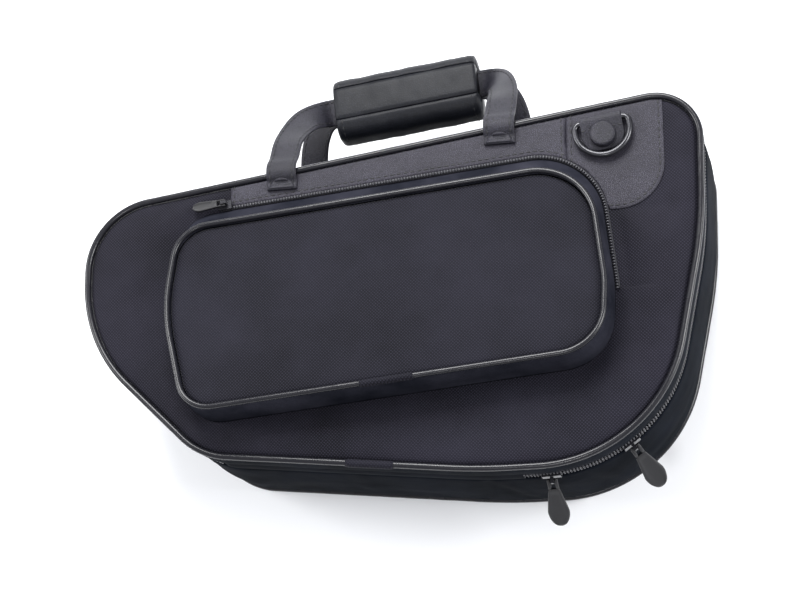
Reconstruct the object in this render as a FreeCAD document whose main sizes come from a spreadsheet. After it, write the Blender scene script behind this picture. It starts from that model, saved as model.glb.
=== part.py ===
import FreeCAD, Part
import math
import os

# A padded gig bag for a pocket trumpet, lying on its back.
# X runs along the bottom fold towards the wide end, Y towards the carrying handle, Z out of the front.

SIZES = {
    # Corners of the case outline, seen from the front, each with its rounding.
    "toe_x": -131, "toe_y": -98.4, "toe_round": 50,
    "keel_x": 50, "keel_y": -115.6, "keel_round": 400,
    "heel_x": 163, "heel_y": -114.5, "heel_round": 95,
    "hip_x": 194, "hip_y": 32, "hip_round": 260,
    "crown_x": 196.5, "crown_y": 126.3, "crown_round": 30,
    "brow_x": -215, "brow_y": 72.6, "brow_round": 47,
    "cheek_x": -214, "cheek_y": -19, "cheek_round": 100,
    # Depths of the case.
    "back_face": 3.6,
    "front_face": 112,
    "lid_depth": 28,
    "fit": 0.3,
    # Cloth, foam and lining.
    "cloth": 1.2,
    "foam": 7,
    "lining": 1,
    "seam_gap": 0.1,
    # Piping round both faces.
    "piping_radius": 2.2,
    "piping_inset": 0.7,
    "piping_flat": 0.4,
    "join_wall": 0.9,
    "join_length": 31,
    "join_x": -19,
    # Main zip.
    "zip_gap": 1.4,
    "coil_height": 2,
    "coil_depth": 2,
    "coil_inset": 0.6,
    "tape_height": 9,
    "tape_thickness": 0.7,
    "zip_reveal": 4,
    "fold_reach": 42,
    "fold_left": -124,
    "fold_right": 74,
    "hinge_clear": 2.2,
    # Sliders and pulls of the main zip.
    "slider_length": 12,
    "slider_plate": 1.2,
    "slider_height": 6,
    "slider_post": 0.8,
    "slider_a_angle": 3,
    "slider_b_angle": 36,
    "bail_height": 4,
    "bail_width": 4,
    "pull_length": 37,
    "pull_width": 14,
    "pull_neck": 7,
    "pull_thickness": 2.2,
    "pull_pin_hole": 1.5,
    "pull_droop": 50,
    "pocket_slider_length": 9,
    "pocket_pull_length": 22,
    "pocket_pull_width": 7,
    "pocket_pull_neck": 5,
    "pocket_pull_droop": 2.5,
    # Corners of the pocket's face, each with its rounding.
    "pocket_toe_x": -133, "pocket_toe_y": -74.4, "pocket_toe_round": 22,
    "pocket_heel_x": 132.5, "pocket_heel_y": -49.2, "pocket_heel_round": 30,
    "pocket_hip_x": 134.5, "pocket_hip_y": -5, "pocket_hip_round": 80,
    "pocket_crown_x": 124.5, "pocket_crown_y": 75.7, "pocket_crown_round": 40,
    "pocket_brow_x": -146, "pocket_brow_y": 51.8, "pocket_brow_round": 24,
    "pocket_left_x": -151.5, "pocket_left_y": -5, "pocket_left_round": 120,
    "pocket_depth_top": 13,
    "pocket_depth_bottom": 26,
    "pocket_flare": 4,
    "pocket_top_flare": 8,
    "pocket_piping_radius": 1.9,
    "pocket_join_length": 34,
    "pocket_join_x": -1.5,
    "pocket_tape_width": 7,
    "pocket_coil": 1.8,
    # Leatherette yoke, ring patch and handle.
    "leather": 0.8,
    "yoke_left": -115,
    "yoke_right": 110,
    "patch_right": 172,
    "patch_bottom": 47,
    "patch_round": 30,
    "strap_width": 20.5,
    "strap_thickness": 2.4,
    "handle_x": -6,
    "handle_half": 73,
    "handle_rise": 58,
    "handle_slope": 0.11,
    "strap_end": 12.5,
    "wrap_length": 100,
    "wrap_height": 45,
    "wrap_drop": 1.5,
    "wrap_depth": 30,
    "wrap_round": 12,
    "badge_width": 17,
    # Ring, tab and snap cap.
    "ring_width": 39,
    "ring_depth": 25,
    "ring_wire": 4,
    "tab_width": 27,
    "tab_length": 19.5,
    "tab_thickness": 1.2,
    "cap_diameter": 16.5,
    "cap_height": 3,
    "ring_x": 133,
    "ring_y": 106,
    "side_ring_y": 28,
    "side_ring_z": 62,
}

CASE = ("toe", "keel", "heel", "hip", "crown", "brow", "cheek")
POCKET = ("pocket_toe", "pocket_heel", "pocket_hip", "pocket_crown", "pocket_brow", "pocket_left")

doc = FreeCAD.newDocument("gig_bag")
sheet = doc.addObject("Spreadsheet::Sheet", "Sizes")
for row, (alias, value) in enumerate(SIZES.items(), start=1):
    sheet.set(f"A{row}", alias)
    sheet.set(f"B{row}", str(value))
    sheet.setAlias(f"B{row}", alias)
doc.recompute()


def size(alias):
    return float(sheet.get(alias))


pieces = []


def at(x, y, z=0):
    return FreeCAD.Vector(x, y, z)


def keep(piece, label):
    """Names one finished piece of the bag."""
    piece.Label = label
    pieces.append(piece)
    return piece


def keep_shape(shape, label):
    """Keeps a form that is swept, lofted or cut to fit."""
    piece = doc.addObject("Part::Feature", label)
    piece.Shape = shape
    return keep(piece, label)


# Derived heights and places, all from the sheet.
PARTING = size("front_face") - size("lid_depth")
COIL_LOW = PARTING - size("zip_gap") / 2
COIL_HIGH = PARTING + size("zip_gap") / 2
TAPE_LOW = COIL_LOW - size("coil_height") - size("tape_height")
TAPE_HIGH = COIL_HIGH + size("coil_height") + size("tape_height")
PANEL_INSET = size("piping_inset") + size("piping_radius") + size("fit")
FOAM_INSET = size("cloth") + size("tape_thickness") + 2 * size("seam_gap")
LINING_INSET = FOAM_INSET + size("foam") + size("seam_gap")
TOP_SLOPE = (size("crown_y") - size("brow_y")) / (size("crown_x") - size("brow_x"))
TOP_TURN = math.degrees(math.atan(TOP_SLOPE))


def top_edge(x):
    """Height of the case's straight top edge over a place along it."""
    return size("brow_y") + TOP_SLOPE * (x - size("brow_x"))


def corner_list(names, grow=0, lift=None):
    """Corners of an outline, moved outwards by grow, with their roundings."""
    lift = lift or {}
    plain = [at(size(n + "_x"), size(n + "_y") + lift.get(n, 0)) for n in names]
    rounds = [size(n + "_round") for n in names]
    moved = []
    count = len(plain)
    for i in range(count):
        before, here, after = plain[i - 1], plain[i], plain[(i + 1) % count]
        inward = (here - before).normalize()
        outward = (after - here).normalize()
        bisector = at(inward.y + outward.y, -inward.x - outward.x)
        bisector.normalize()
        side = at(inward.y, -inward.x)
        moved.append((here + bisector * (grow / bisector.dot(side)), rounds[i] + grow))
    return moved


def outline_edges(corners):
    """Straight sides joined by tangent arcs through a closed list of corners."""
    marks = []
    count = len(corners)
    for i in range(count):
        here, radius = corners[i]
        towards_last = (corners[i - 1][0] - here).normalize()
        towards_next = (corners[(i + 1) % count][0] - here).normalize()
        half = towards_last.getAngle(towards_next) / 2
        reach = radius / math.tan(half)
        middle = (towards_last + towards_next).normalize()
        near = here + middle * (radius / math.sin(half) - radius)
        marks.append((here + towards_last * reach, near, here + towards_next * reach))
    edges = []
    for i in range(count):
        start, near, end = marks[i]
        edges.append(Part.Arc(start, near, end))
        edges.append(Part.LineSegment(end, marks[(i + 1) % count][0]))
    return edges


def wire(curves, z=0):
    """A closed or open wire of curves at one height."""
    joined = Part.Wire([curve.toShape() for curve in curves])
    joined.translate(at(0, 0, z))
    return joined


def outline(names, grow=0, z=0, lift=None):
    return wire(outline_edges(corner_list(names, grow, lift)), z)


def plate(wires, height):
    """A flat plate with an outer wire and perhaps an inner one."""
    return Part.makeFace(wires, "Part::FaceMakerBullseye").extrude(at(0, 0, height))


def ring(names, outer, inner, low, high):
    """A band that follows an outline, between two insets and two heights."""
    return plate([outline(names, outer, low), outline(names, inner, low)], high - low)


def body(name):
    return doc.addObject("PartDesign::Body", name)


def origin_plane(owner, role):
    return [plane for plane in owner.Origin.OriginFeatures if plane.Role == role][0]


def add_pad(owner, name, loops, low, length, role="XY_Plane"):
    """Sketches closed loops on a plane of the body and pads them."""
    sketch = owner.newObject("Sketcher::SketchObject", name + "_sketch")
    sketch.AttachmentSupport = [(origin_plane(owner, role), "")]
    sketch.MapMode = "FlatFace"
    sketch.setExpression("AttachmentOffset.Base.z", low)
    for loop in loops:
        sketch.addGeometry(loop, False)
    pad = owner.newObject("PartDesign::Pad", name + "_pad")
    pad.Profile = sketch
    pad.setExpression("Length", length)
    sketch.Visibility = False
    return pad


def case_loop(inset):
    return outline_edges(corner_list(CASE, -inset))


def layer(name, loops, low, length):
    """One flat layer of the bag as a body of its own."""
    owner = body(name)
    add_pad(owner, name, loops, low, length)
    return keep(owner, name)


def fold_region(clear):
    """The space round the bottom fold, a little shorter at both ends."""
    length = size("fold_right") - size("fold_left") - 2 * clear
    corner = at(size("fold_left") + clear, size("keel_y") - size("foam"))
    return Part.makeBox(length, size("fold_reach"), size("front_face"), corner)


def zip_span(shape):
    """Leaves a band out along the bottom, where the cloth folds and no zip runs."""
    return shape.cut(fold_region(0))


# Back half: face, wall, foam, lining.
layer("back_panel", [case_loop(PANEL_INSET)], "Sizes.back_face", "Sizes.cloth")
WALL_LOW = 2 * size("piping_radius") + size("seam_gap")
CLOTH_TOP = COIL_LOW - size("coil_height") - size("zip_reveal")
CLOTH_LOW = COIL_HIGH + size("coil_height") + size("zip_reveal")
keep_shape(ring(CASE, 0, -size("cloth"), WALL_LOW, CLOTH_TOP), "back_gusset")

FOAM_LOW = size("back_face") + size("cloth") + size("seam_gap")
FOAM_TOP = TAPE_LOW - size("fit")
foam_wall = ring(CASE, -FOAM_INSET, -FOAM_INSET - size("foam"), FOAM_LOW, FOAM_TOP)
foam_floor = plate([outline(CASE, -FOAM_INSET - size("foam"), FOAM_LOW)], size("foam"))
keep_shape(foam_wall.fuse(foam_floor).removeSplitter(), "back_foam")

LINING_LOW = FOAM_LOW + size("foam") + size("seam_gap")
lining_wall = ring(CASE, -LINING_INSET, -LINING_INSET - size("lining"), LINING_LOW, FOAM_TOP)
lining_floor = plate([outline(CASE, -LINING_INSET - size("lining"), LINING_LOW)], size("lining"))
keep_shape(lining_wall.fuse(lining_floor).removeSplitter(), "back_lining")

# Lid: face, wall, foam, lining.
front = body("front_panel")
add_pad(front, "front_panel", [case_loop(PANEL_INSET)], "Sizes.front_face - Sizes.cloth", "Sizes.cloth")
keep(front, "front_panel")
PIPING_HIGH = size("front_face") + size("piping_inset") / 2
WALL_TOP = PIPING_HIGH - size("piping_radius") - size("seam_gap")
keep_shape(ring(CASE, 0, -size("cloth"), CLOTH_LOW, WALL_TOP), "front_gusset")

LID_FOAM_TOP = size("front_face") - size("cloth") - size("seam_gap")
LID_FOAM_LOW = TAPE_HIGH + size("fit")
LID_CEILING = LID_FOAM_TOP - size("foam")
lid_wall = ring(CASE, -PANEL_INSET, -FOAM_INSET - size("foam"), LID_FOAM_LOW, LID_FOAM_TOP)
lid_plate = plate([outline(CASE, -FOAM_INSET - size("foam"), LID_CEILING)], size("foam"))
keep_shape(lid_wall.fuse(lid_plate).removeSplitter(), "front_foam")
LID_LINING = LID_CEILING - size("seam_gap") - size("lining")
lid_lining_wall = ring(CASE, -LINING_INSET, -LINING_INSET - size("lining"), LID_FOAM_LOW, LID_LINING)
lid_lining_plate = plate([outline(CASE, -LINING_INSET, LID_LINING)], size("lining"))
keep_shape(lid_lining_wall.fuse(lid_lining_plate).removeSplitter(), "front_lining")


def piping(spine, radius, start, along):
    """A round cord cover swept along a wire."""
    circle = Part.Wire([Part.Circle(start, along, radius).toShape()])
    return spine.makePipeShell([circle], True, True)


def case_piping(z):
    inset = -size("piping_inset")
    corners = corner_list(CASE, inset)
    spine = wire(outline_edges(corners), z)
    start = spine.Edges[1].valueAt(spine.Edges[1].FirstParameter)
    along = spine.Edges[1].tangentAt(spine.Edges[1].FirstParameter)
    turned = Part.Wire(spine.Edges[1:] + spine.Edges[:1])
    return piping(turned, size("piping_radius"), start, along), spine


back_cord, back_spine = case_piping(size("piping_radius"))
# The back piping is pressed a little flat where the bag lies on it.
pressed = plate([outline(CASE, size("foam"))], size("piping_flat"))
keep_shape(back_cord.cut(pressed), "back_piping")
front_cord, front_spine = case_piping(PIPING_HIGH)
keep_shape(front_cord, "front_piping")


def sleeve(spine, middle_x, length, radius, wall):
    """A short tube of cloth over the place on the bottom side where a piping's two ends meet."""
    edge = spine.Edges[1]
    along = edge.tangentAt(edge.FirstParameter)
    corner = edge.valueAt(edge.FirstParameter)
    middle = corner + along * ((middle_x - corner.x) / along.x)
    start = middle - along * (length / 2)
    bore = radius + size("seam_gap") / 2
    outer = Part.makeCylinder(bore + wall, length, start, along)
    inner = Part.makeCylinder(bore, length, start, along)
    return outer.cut(inner)


# Main zip: tape and coil of each half, and the fold where there is none.
TAPE_OUT = -size("cloth") - size("seam_gap")
TAPE_IN = TAPE_OUT - size("tape_thickness")
COIL_OUT = -size("coil_inset")
COIL_IN = COIL_OUT - size("coil_depth")
tape_back = ring(CASE, TAPE_OUT, TAPE_IN, TAPE_LOW, TAPE_LOW + size("tape_height"))
keep_shape(zip_span(tape_back), "zip_tape_back")
coil_back = ring(CASE, COIL_OUT, COIL_IN, COIL_LOW - size("coil_height"), COIL_LOW)
keep_shape(zip_span(coil_back), "zip_coil_back")
tape_front = ring(CASE, TAPE_OUT, TAPE_IN, TAPE_HIGH - size("tape_height"), TAPE_HIGH)
keep_shape(zip_span(tape_front), "zip_tape_front")
coil_front = ring(CASE, COIL_OUT, COIL_IN, COIL_HIGH, COIL_HIGH + size("coil_height"))
keep_shape(zip_span(coil_front), "zip_coil_front")

fold_band = ring(CASE, 0, -size("cloth"), CLOTH_TOP, CLOTH_LOW)
keep_shape(fold_band.common(fold_region(size("fit"))), "fold_panel")

# Pocket on the lid.
POCKET_BASE = size("front_face") + size("fit")
POCKET_LIFT = {"pocket_brow": size("pocket_top_flare"), "pocket_crown": size("pocket_top_flare")}
POCKET_SLOPE = (size("pocket_heel_y") - size("pocket_toe_y")) / (size("pocket_heel_x") - size("pocket_toe_x"))
pocket_height = size("pocket_brow_y") - size("pocket_toe_y")
POCKET_TILT = math.degrees(
    math.asin((size("pocket_depth_bottom") - size("pocket_depth_top")) / pocket_height)
)


def pocket_face_wire(grow, drop=0):
    """The pocket's face outline, tipped back towards its zip."""
    flat = outline(POCKET, grow, -drop)
    pivot = at(size("pocket_toe_x"), size("pocket_toe_y"))
    flat.rotate(pivot, at(1, POCKET_SLOPE), -POCKET_TILT)
    flat.translate(at(0, 0, size("front_face") + size("pocket_depth_bottom")))
    return flat


def pocket_base_wire(grow, z=None):
    height = POCKET_BASE if z is None else z
    return outline(POCKET, size("pocket_flare") + grow, height, POCKET_LIFT)


def pocket_block(grow, drop=0):
    return Part.makeLoft([pocket_base_wire(grow), pocket_face_wire(grow, drop)], True, True)


face_drop = size("cloth") + size("seam_gap")
pocket_skin = pocket_block(0, face_drop).cut(pocket_block(-size("cloth"), face_drop))
keep_shape(pocket_skin, "pocket_gusset")
face_inset = size("pocket_piping_radius") + size("fit")
face_outer = Part.Face(pocket_face_wire(-face_inset, size("cloth")))
tipped = FreeCAD.Rotation(at(1, POCKET_SLOPE), -POCKET_TILT).multVec(at(0, 0, 1))
keep_shape(face_outer.extrude(tipped * size("cloth")), "pocket_panel")
pocket_spine = pocket_face_wire(0, -size("pocket_piping_radius") + size("seam_gap"))
first = pocket_spine.Edges[1]
pocket_turned = Part.Wire(pocket_spine.Edges[1:] + pocket_spine.Edges[:1])
pocket_cord = piping(
    pocket_turned,
    size("pocket_piping_radius"),
    first.valueAt(first.FirstParameter),
    first.tangentAt(first.FirstParameter),
)
keep_shape(pocket_cord, "pocket_piping")

pocket_join = sleeve(
    pocket_spine, size("pocket_join_x"), size("pocket_join_length"), size("pocket_piping_radius"), size("join_wall")
)
case_join = sleeve(front_spine, size("join_x"), size("join_length"), size("piping_radius"), size("join_wall"))


def clear_of(shape, *others):
    """Trims a cloth piece where it meets what it lies on."""
    for other in others:
        shape = shape.cut(other)
    return shape


def shape_of(label):
    return [piece.Shape for piece in pieces if piece.Label == label][0]


doc.recompute()
under_join = [shape_of("front_gusset"), shape_of("front_panel"), shape_of("front_foam")]
keep_shape(clear_of(case_join, *under_join), "piping_join")
keep_shape(clear_of(pocket_join, pocket_skin, shape_of("pocket_panel")), "pocket_piping_join")

# Pocket zip: tape laid flat on the face round the top and right of the pocket, coils on both sides of the slit.
POCKET_COIL_IN = size("pocket_flare") + size("fit")
POCKET_COIL_OUT = POCKET_COIL_IN + size("pocket_coil")
POCKET_TAPE_OUT = POCKET_COIL_IN + size("pocket_tape_width")


def pocket_ring(outer, inner, low, high):
    wires = [outline(POCKET, outer, low, POCKET_LIFT), outline(POCKET, inner, low, POCKET_LIFT)]
    return plate(wires, high - low)


def pocket_zip_side(shape):
    """Keeps the top and the upper right of a band round the pocket."""
    left = size("pocket_brow_x") + size("pocket_brow_round")
    region = Part.makeBox(
        size("crown_x") - left,
        size("crown_y") - size("pocket_hip_y"),
        size("front_face") * 2,
        at(left, size("pocket_hip_y")),
    )
    return shape.common(region)


face = size("front_face")
pocket_tape = pocket_ring(POCKET_TAPE_OUT, POCKET_COIL_IN, face, face + size("tape_thickness"))
keep_shape(pocket_zip_side(pocket_tape), "pocket_zip_tape")
COIL_SEAT = face + size("tape_thickness")
pocket_coil = pocket_ring(POCKET_COIL_OUT, POCKET_COIL_IN, COIL_SEAT, COIL_SEAT + size("pocket_coil"))
keep_shape(pocket_zip_side(pocket_coil), "pocket_zip_coil")

# Leatherette on the face: yoke under the handle and the patch under the ring.
YOKE_INSET = PANEL_INSET + size("seam_gap")
YOKE_LOW = POCKET_TAPE_OUT + size("fit")


def leather_region(shape_list):
    """A sheet of leatherette that fills the face beside the pocket's zip."""
    outer = plate([outline(CASE, -YOKE_INSET, face)], size("leather"))
    pocket_hole = plate([outline(POCKET, YOKE_LOW, face, POCKET_LIFT)], size("leather"))
    sheet_part = outer.cut(pocket_hole)
    region = shape_list[0]
    for extra in shape_list[1:]:
        region = region.fuse(extra)
    return sheet_part.common(region)


yoke_box = Part.makeBox(
    size("yoke_right") - size("yoke_left"),
    size("crown_y"),
    size("front_face") * 2,
    at(size("yoke_left"), size("pocket_brow_y")),
)
keep_shape(leather_region([yoke_box]), "yoke")
patch_height = size("crown_y") - size("patch_bottom")
patch_width = size("patch_right") - size("yoke_right")
patch_box = Part.makeBox(
    patch_width - size("seam_gap"),
    patch_height,
    size("front_face") * 2,
    at(size("yoke_right") + size("seam_gap"), size("patch_bottom")),
)


def upright_near(shape, x, y):
    """The shape's upright edge that is nearest a place in the plan."""
    upright = [edge for edge in shape.Edges if edge.BoundBox.ZLength > face]
    return min(upright, key=lambda edge: at(edge.CenterOfMass.x - x, edge.CenterOfMass.y - y).Length)


outer_corner = upright_near(patch_box, size("patch_right"), size("patch_bottom"))
patch_box = patch_box.makeFillet(size("patch_round"), [outer_corner])
keep_shape(leather_region([patch_box]), "ring_patch")

# Handle: two straps, each in one length from base to base, and the wrap that gathers them.
MIDDLE_Z = (face + size("back_face")) / 2
SEAT_Z = face + size("leather") + size("fit") + size("strap_thickness") / 2
OVER_Z = PIPING_HIGH + size("piping_radius") + size("fit") + size("strap_thickness") / 2
STRAP_APART = size("strap_thickness") / 2 + size("fit") / 2
HALF = size("handle_half")
RISE = size("handle_rise")
# Half a strap, from its base to the grip: along, up and out as shares, then the turn of its width in degrees.
FRONT_STATION_SHARES = (
    (1.0, 0.15, 0.93, 0),
    (1.0, 0.36, 0.80, 2),
    (0.985, 0.58, 0.60, 14),
    (0.93, 0.79, 0.38, 38),
    (0.84, 0.93, 0.15, 63),
    (0.74, 0.99, 0.015, 84),
    (0.60, 1.0, 0.0, 90),
    (0.20, 1.0, 0.0, 90),
)
BACK_STATION_SHARES = (
    (1.0, 0.10, 0.60, 0),
    (1.0, 0.30, 0.42, 2),
    (0.985, 0.55, 0.26, 14),
    (0.93, 0.79, 0.14, 38),
    (0.84, 0.93, 0.06, 63),
    (0.74, 0.99, 0.01, 84),
    (0.60, 1.0, 0.0, 90),
    (0.20, 1.0, 0.0, 90),
)


def handle_point(along, up, z):
    """A place near the handle, measured from the top edge of the case; the grip leans a little less than the edge."""
    x = size("handle_x") + along
    lean = along * (size("handle_slope") - TOP_SLOPE) * min(max(up, 0) / RISE, 1)
    return at(x, top_edge(x) + up + lean, z)


def strap(base_run, station_shares, side, flat_turn):
    """A flat strap lofted through its cross-sections, over and down to the other base."""
    chain = []
    reach = OVER_Z - MIDDLE_Z - STRAP_APART
    for mirror in (-1, 1):
        run = [(handle_point(mirror * HALF, up, z), mirror * flat_turn) for up, z in base_run]
        for along, up, out, turn in station_shares:
            z = MIDDLE_Z + side * (STRAP_APART + out * reach)
            run.append((handle_point(mirror * HALF * along, RISE * up, z), turn))
        chain.append([(point, mirror, turn) for point, turn in run])
    chain = chain[0] + chain[1][::-1]
    sections = []
    last = len(chain) - 1
    for i, (point, mirror, turn) in enumerate(chain):
        travel = chain[min(i + 1, last)][0] - chain[max(i - 1, 0)][0]
        width = at(mirror * math.cos(math.radians(turn)), math.sin(math.radians(turn)))
        thick = width.cross(travel).normalize() * (size("strap_thickness") / 2)
        width = width * (size("strap_width") / 2)
        corners = [point + width + thick, point + width - thick, point - width - thick, point - width + thick]
        sections.append(Part.makePolygon(corners + corners[:1]))
    return Part.makeLoft(sections, True, False)


front_base = (
    (-size("strap_end"), SEAT_Z),
    (-size("strap_end") / 2, SEAT_Z),
    (-size("piping_radius") * 2, OVER_Z),
    (size("piping_radius") * 2, OVER_Z),
)
front_strap = strap(front_base, FRONT_STATION_SHARES, 1, 0)
SEAT_DEPTH = size("leather") + size("seam_gap") + size("strap_thickness")
seat_pad = plate([outline(CASE, -YOKE_INSET, face - size("strap_thickness"))], SEAT_DEPTH)
front_strap = front_strap.cut(seat_pad)
keep_shape(front_strap, "front_strap")
WALL_SEAT = size("seam_gap") + size("strap_thickness") / 2
back_base = (
    (WALL_SEAT * 2, size("back_face") + size("strap_end") / 2),
    (WALL_SEAT * 2, size("back_face") + size("strap_end")),
)
back_strap = strap(back_base, BACK_STATION_SHARES, -1, TOP_TURN)
keep_shape(back_strap, "back_strap")


def grip_block(height, depth, rounding, drop=0):
    """A padded bar along the handle, rounded all along its edges."""
    block = Part.makeBox(
        size("wrap_length"), height, depth, at(-size("wrap_length") / 2, -height / 2 - drop, -depth / 2)
    )
    long_edges = [edge for edge in block.Edges if edge.BoundBox.XLength > size("wrap_length") / 2]
    block = block.makeFillet(rounding, long_edges)
    block.rotate(at(0, 0), at(0, 0, 1), math.degrees(math.atan(size("handle_slope"))))
    block.translate(handle_point(0, RISE, MIDDLE_Z))
    return block


grip = grip_block(size("wrap_height"), size("wrap_depth"), size("wrap_round"), size("wrap_drop"))
slot_width = size("strap_width") + 10 * size("fit")
slot = grip_block(slot_width, size("wrap_depth") * 2, size("fit"))
slot_floor = size("strap_thickness") + 2 * size("fit")
slot.translate(at(0, 0, size("wrap_depth") - slot_floor))
flap_slot = slot.copy()
flap_slot.translate(at(0, 0, 2 * slot_floor))
keep_shape(grip.cut(slot), "grip_wrap")
flap = grip_block(slot_width - 2 * size("fit"), size("wrap_depth"), size("fit"))
keep_shape(grip.common(flap_slot).common(flap), "grip_flap")


def strap_badge(mirror):
    """A half-round leatherette patch sewn over the end of a strap, its straight side at the strap's end."""
    radius = size("badge_width") / 2
    low = SEAT_Z + size("strap_thickness") / 2
    badge = Part.makeCylinder(radius, OVER_Z + size("strap_thickness") - low, at(0, 0), at(0, 0, 1), 180)
    badge.translate(handle_point(mirror * HALF, -size("strap_end") + size("fit"), low))
    cover = front_strap.copy()
    cover.translate(at(0, 0, size("leather") + size("seam_gap")))
    raised = front_strap.copy()
    raised.translate(at(0, 0, size("seam_gap")))
    badge = badge.common(cover).cut(raised)
    return badge


keep_shape(Part.makeCompound([strap_badge(-1), strap_badge(1)]), "strap_badges")

# Ring, its folded tab and the snap cap, in a frame of their own: the bar runs along X, the ring hangs to -Y.
WIRE = size("ring_wire") / 2
TAB_REACH = WIRE + size("fit") + size("tab_thickness")


def ring_form():
    """A ring of round wire: a straight bar with a half-round bow."""
    half_width = size("ring_width") / 2 - WIRE
    bow = size("ring_depth") - 2 * WIRE
    shoulder = bow - half_width
    turn = size("ring_wire")
    corner = turn * (1 - math.sqrt(0.5))
    curves = [
        Part.LineSegment(at(0, 0), at(half_width - turn, 0)),
        Part.Arc(at(half_width - turn, 0), at(half_width - corner, -corner), at(half_width, -turn)),
        Part.LineSegment(at(half_width, -turn), at(half_width, -turn - shoulder / 2)),
        Part.Arc(
            at(half_width, -turn - shoulder / 2),
            at(0, -turn - shoulder / 2 - half_width),
            at(-half_width, -turn - shoulder / 2),
        ),
        Part.LineSegment(at(-half_width, -turn - shoulder / 2), at(-half_width, -turn)),
        Part.Arc(at(-half_width, -turn), at(-half_width + corner, -corner), at(-half_width + turn, 0)),
        Part.LineSegment(at(-half_width + turn, 0), at(0, 0)),
    ]
    return piping(wire(curves), WIRE, at(0, 0), at(1, 0))


def tab_form():
    """A strip folded round the bar, both layers brought together under the cap."""
    width = size("tab_width")
    length = size("tab_length")
    loop = Part.makeCylinder(TAB_REACH, width, at(-width / 2, 0), at(1, 0))
    thin = 2 * size("tab_thickness")
    profile = [at(-width / 2, 0, -TAB_REACH), at(-width / 2, -length, -TAB_REACH)]
    profile += [at(-width / 2, -length, thin - TAB_REACH), at(-width / 2, 0, TAB_REACH)]
    wedge = Part.Face(Part.makePolygon(profile + profile[:1])).extrude(at(width, 0))
    bore = Part.makeCylinder(WIRE + size("fit"), width * 2, at(-width, 0), at(1, 0))
    end = Part.makeBox(width, width / 2, size("ring_width"), at(-width / 2, -length, -width))
    upright = [edge for edge in end.Edges if edge.BoundBox.ZLength > width]
    far = min(edge.BoundBox.YMin for edge in upright)
    end = end.makeFillet(width / 3, [edge for edge in upright if edge.BoundBox.YMin < far + size("fit")])
    shape = loop.fuse(wedge).cut(bore)
    keep_box = Part.makeBox(width, length, width, at(-width / 2, -length + width / 2, -width / 2))
    return shape.common(keep_box.fuse(end))


def cap_form(tab):
    """A round snap cap that closes the tab."""
    radius = size("cap_diameter") / 2
    middle = -size("tab_length") + radius + size("tab_thickness")
    high = TAB_REACH - (TAB_REACH - size("tab_thickness")) * 2 * radius / size("tab_length")
    stud = Part.makeCylinder(radius, high + size("cap_height") + TAB_REACH, at(0, middle, -TAB_REACH))
    rim = [edge for edge in stud.Edges if edge.BoundBox.ZMin > high]
    stud = stud.makeFillet(size("cap_height") / 2, rim)
    loop = Part.makeCylinder(TAB_REACH, size("tab_width"), at(-size("tab_width") / 2, 0), at(1, 0))
    return stud.cut(tab).cut(loop)


def ring_set(place):
    """Ring, tab and cap put in place on the bag."""
    tab = tab_form()
    forms = [ring_form(), tab, cap_form(tab)]
    for form in forms:
        form.Placement = place.multiply(form.Placement)
    return forms


bar_z = face + size("leather") + size("seam_gap") + TAB_REACH
RING_BAR = at(size("ring_x"), size("ring_y"), bar_z)
front_ring_place = FreeCAD.Placement(RING_BAR, FreeCAD.Rotation(at(0, 0, 1), TOP_TURN))
for label, form in zip(("front_ring", "front_tab", "front_cap"), ring_set(front_ring_place)):
    keep_shape(form, label)
SIDE_BAR = at(size("brow_x") - size("seam_gap") - TAB_REACH, size("side_ring_y"), size("side_ring_z"))
hang = FreeCAD.Rotation(at(0, -1), at(0, 0, 1), at(-1, 0), "XYZ")
side_ring_place = FreeCAD.Placement(SIDE_BAR, hang)
for label, form in zip(("side_ring", "side_tab", "side_cap"), ring_set(side_ring_place)):
    keep_shape(form, label)

# Sliders: an outer and an inner plate joined by a post in the slit, a bail, and a pull on the bail's pin.
PLATE_OUT = -size("coil_inset") + size("fit")
BAIL_PIN = at(0, PLATE_OUT + size("slider_plate") + size("bail_height") / 2, 0)


def slider_form():
    """A slider whose path is X, with Y out of the bag; its pin is level with the middle of its plates."""
    length = size("slider_length")
    height = size("slider_height")
    plate_t = size("slider_plate")
    low = -height / 2
    inner_y = PLATE_OUT - 2 * size("fit") - size("coil_depth") - plate_t
    outer = Part.makeBox(length, plate_t, height, at(-length / 2, PLATE_OUT, low))
    inner = Part.makeBox(length, plate_t, height, at(-length / 2, inner_y, low))
    post_t = size("slider_post")
    post = Part.makeBox(length, PLATE_OUT - inner_y, post_t, at(-length / 2, inner_y, height / 2 - post_t))
    thin, tall = size("bail_width") / 2, size("bail_height")
    bail = Part.makeBox(thin, tall, tall, at(-thin / 2, PLATE_OUT + plate_t, -tall / 2))
    bore = size("pull_pin_hole") / 2 + size("fit")
    hole = Part.makeCylinder(bore, length, BAIL_PIN - at(length / 2, 0), at(1, 0))
    return outer.fuse([inner, post, bail]).cut(hole).removeSplitter()


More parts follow.
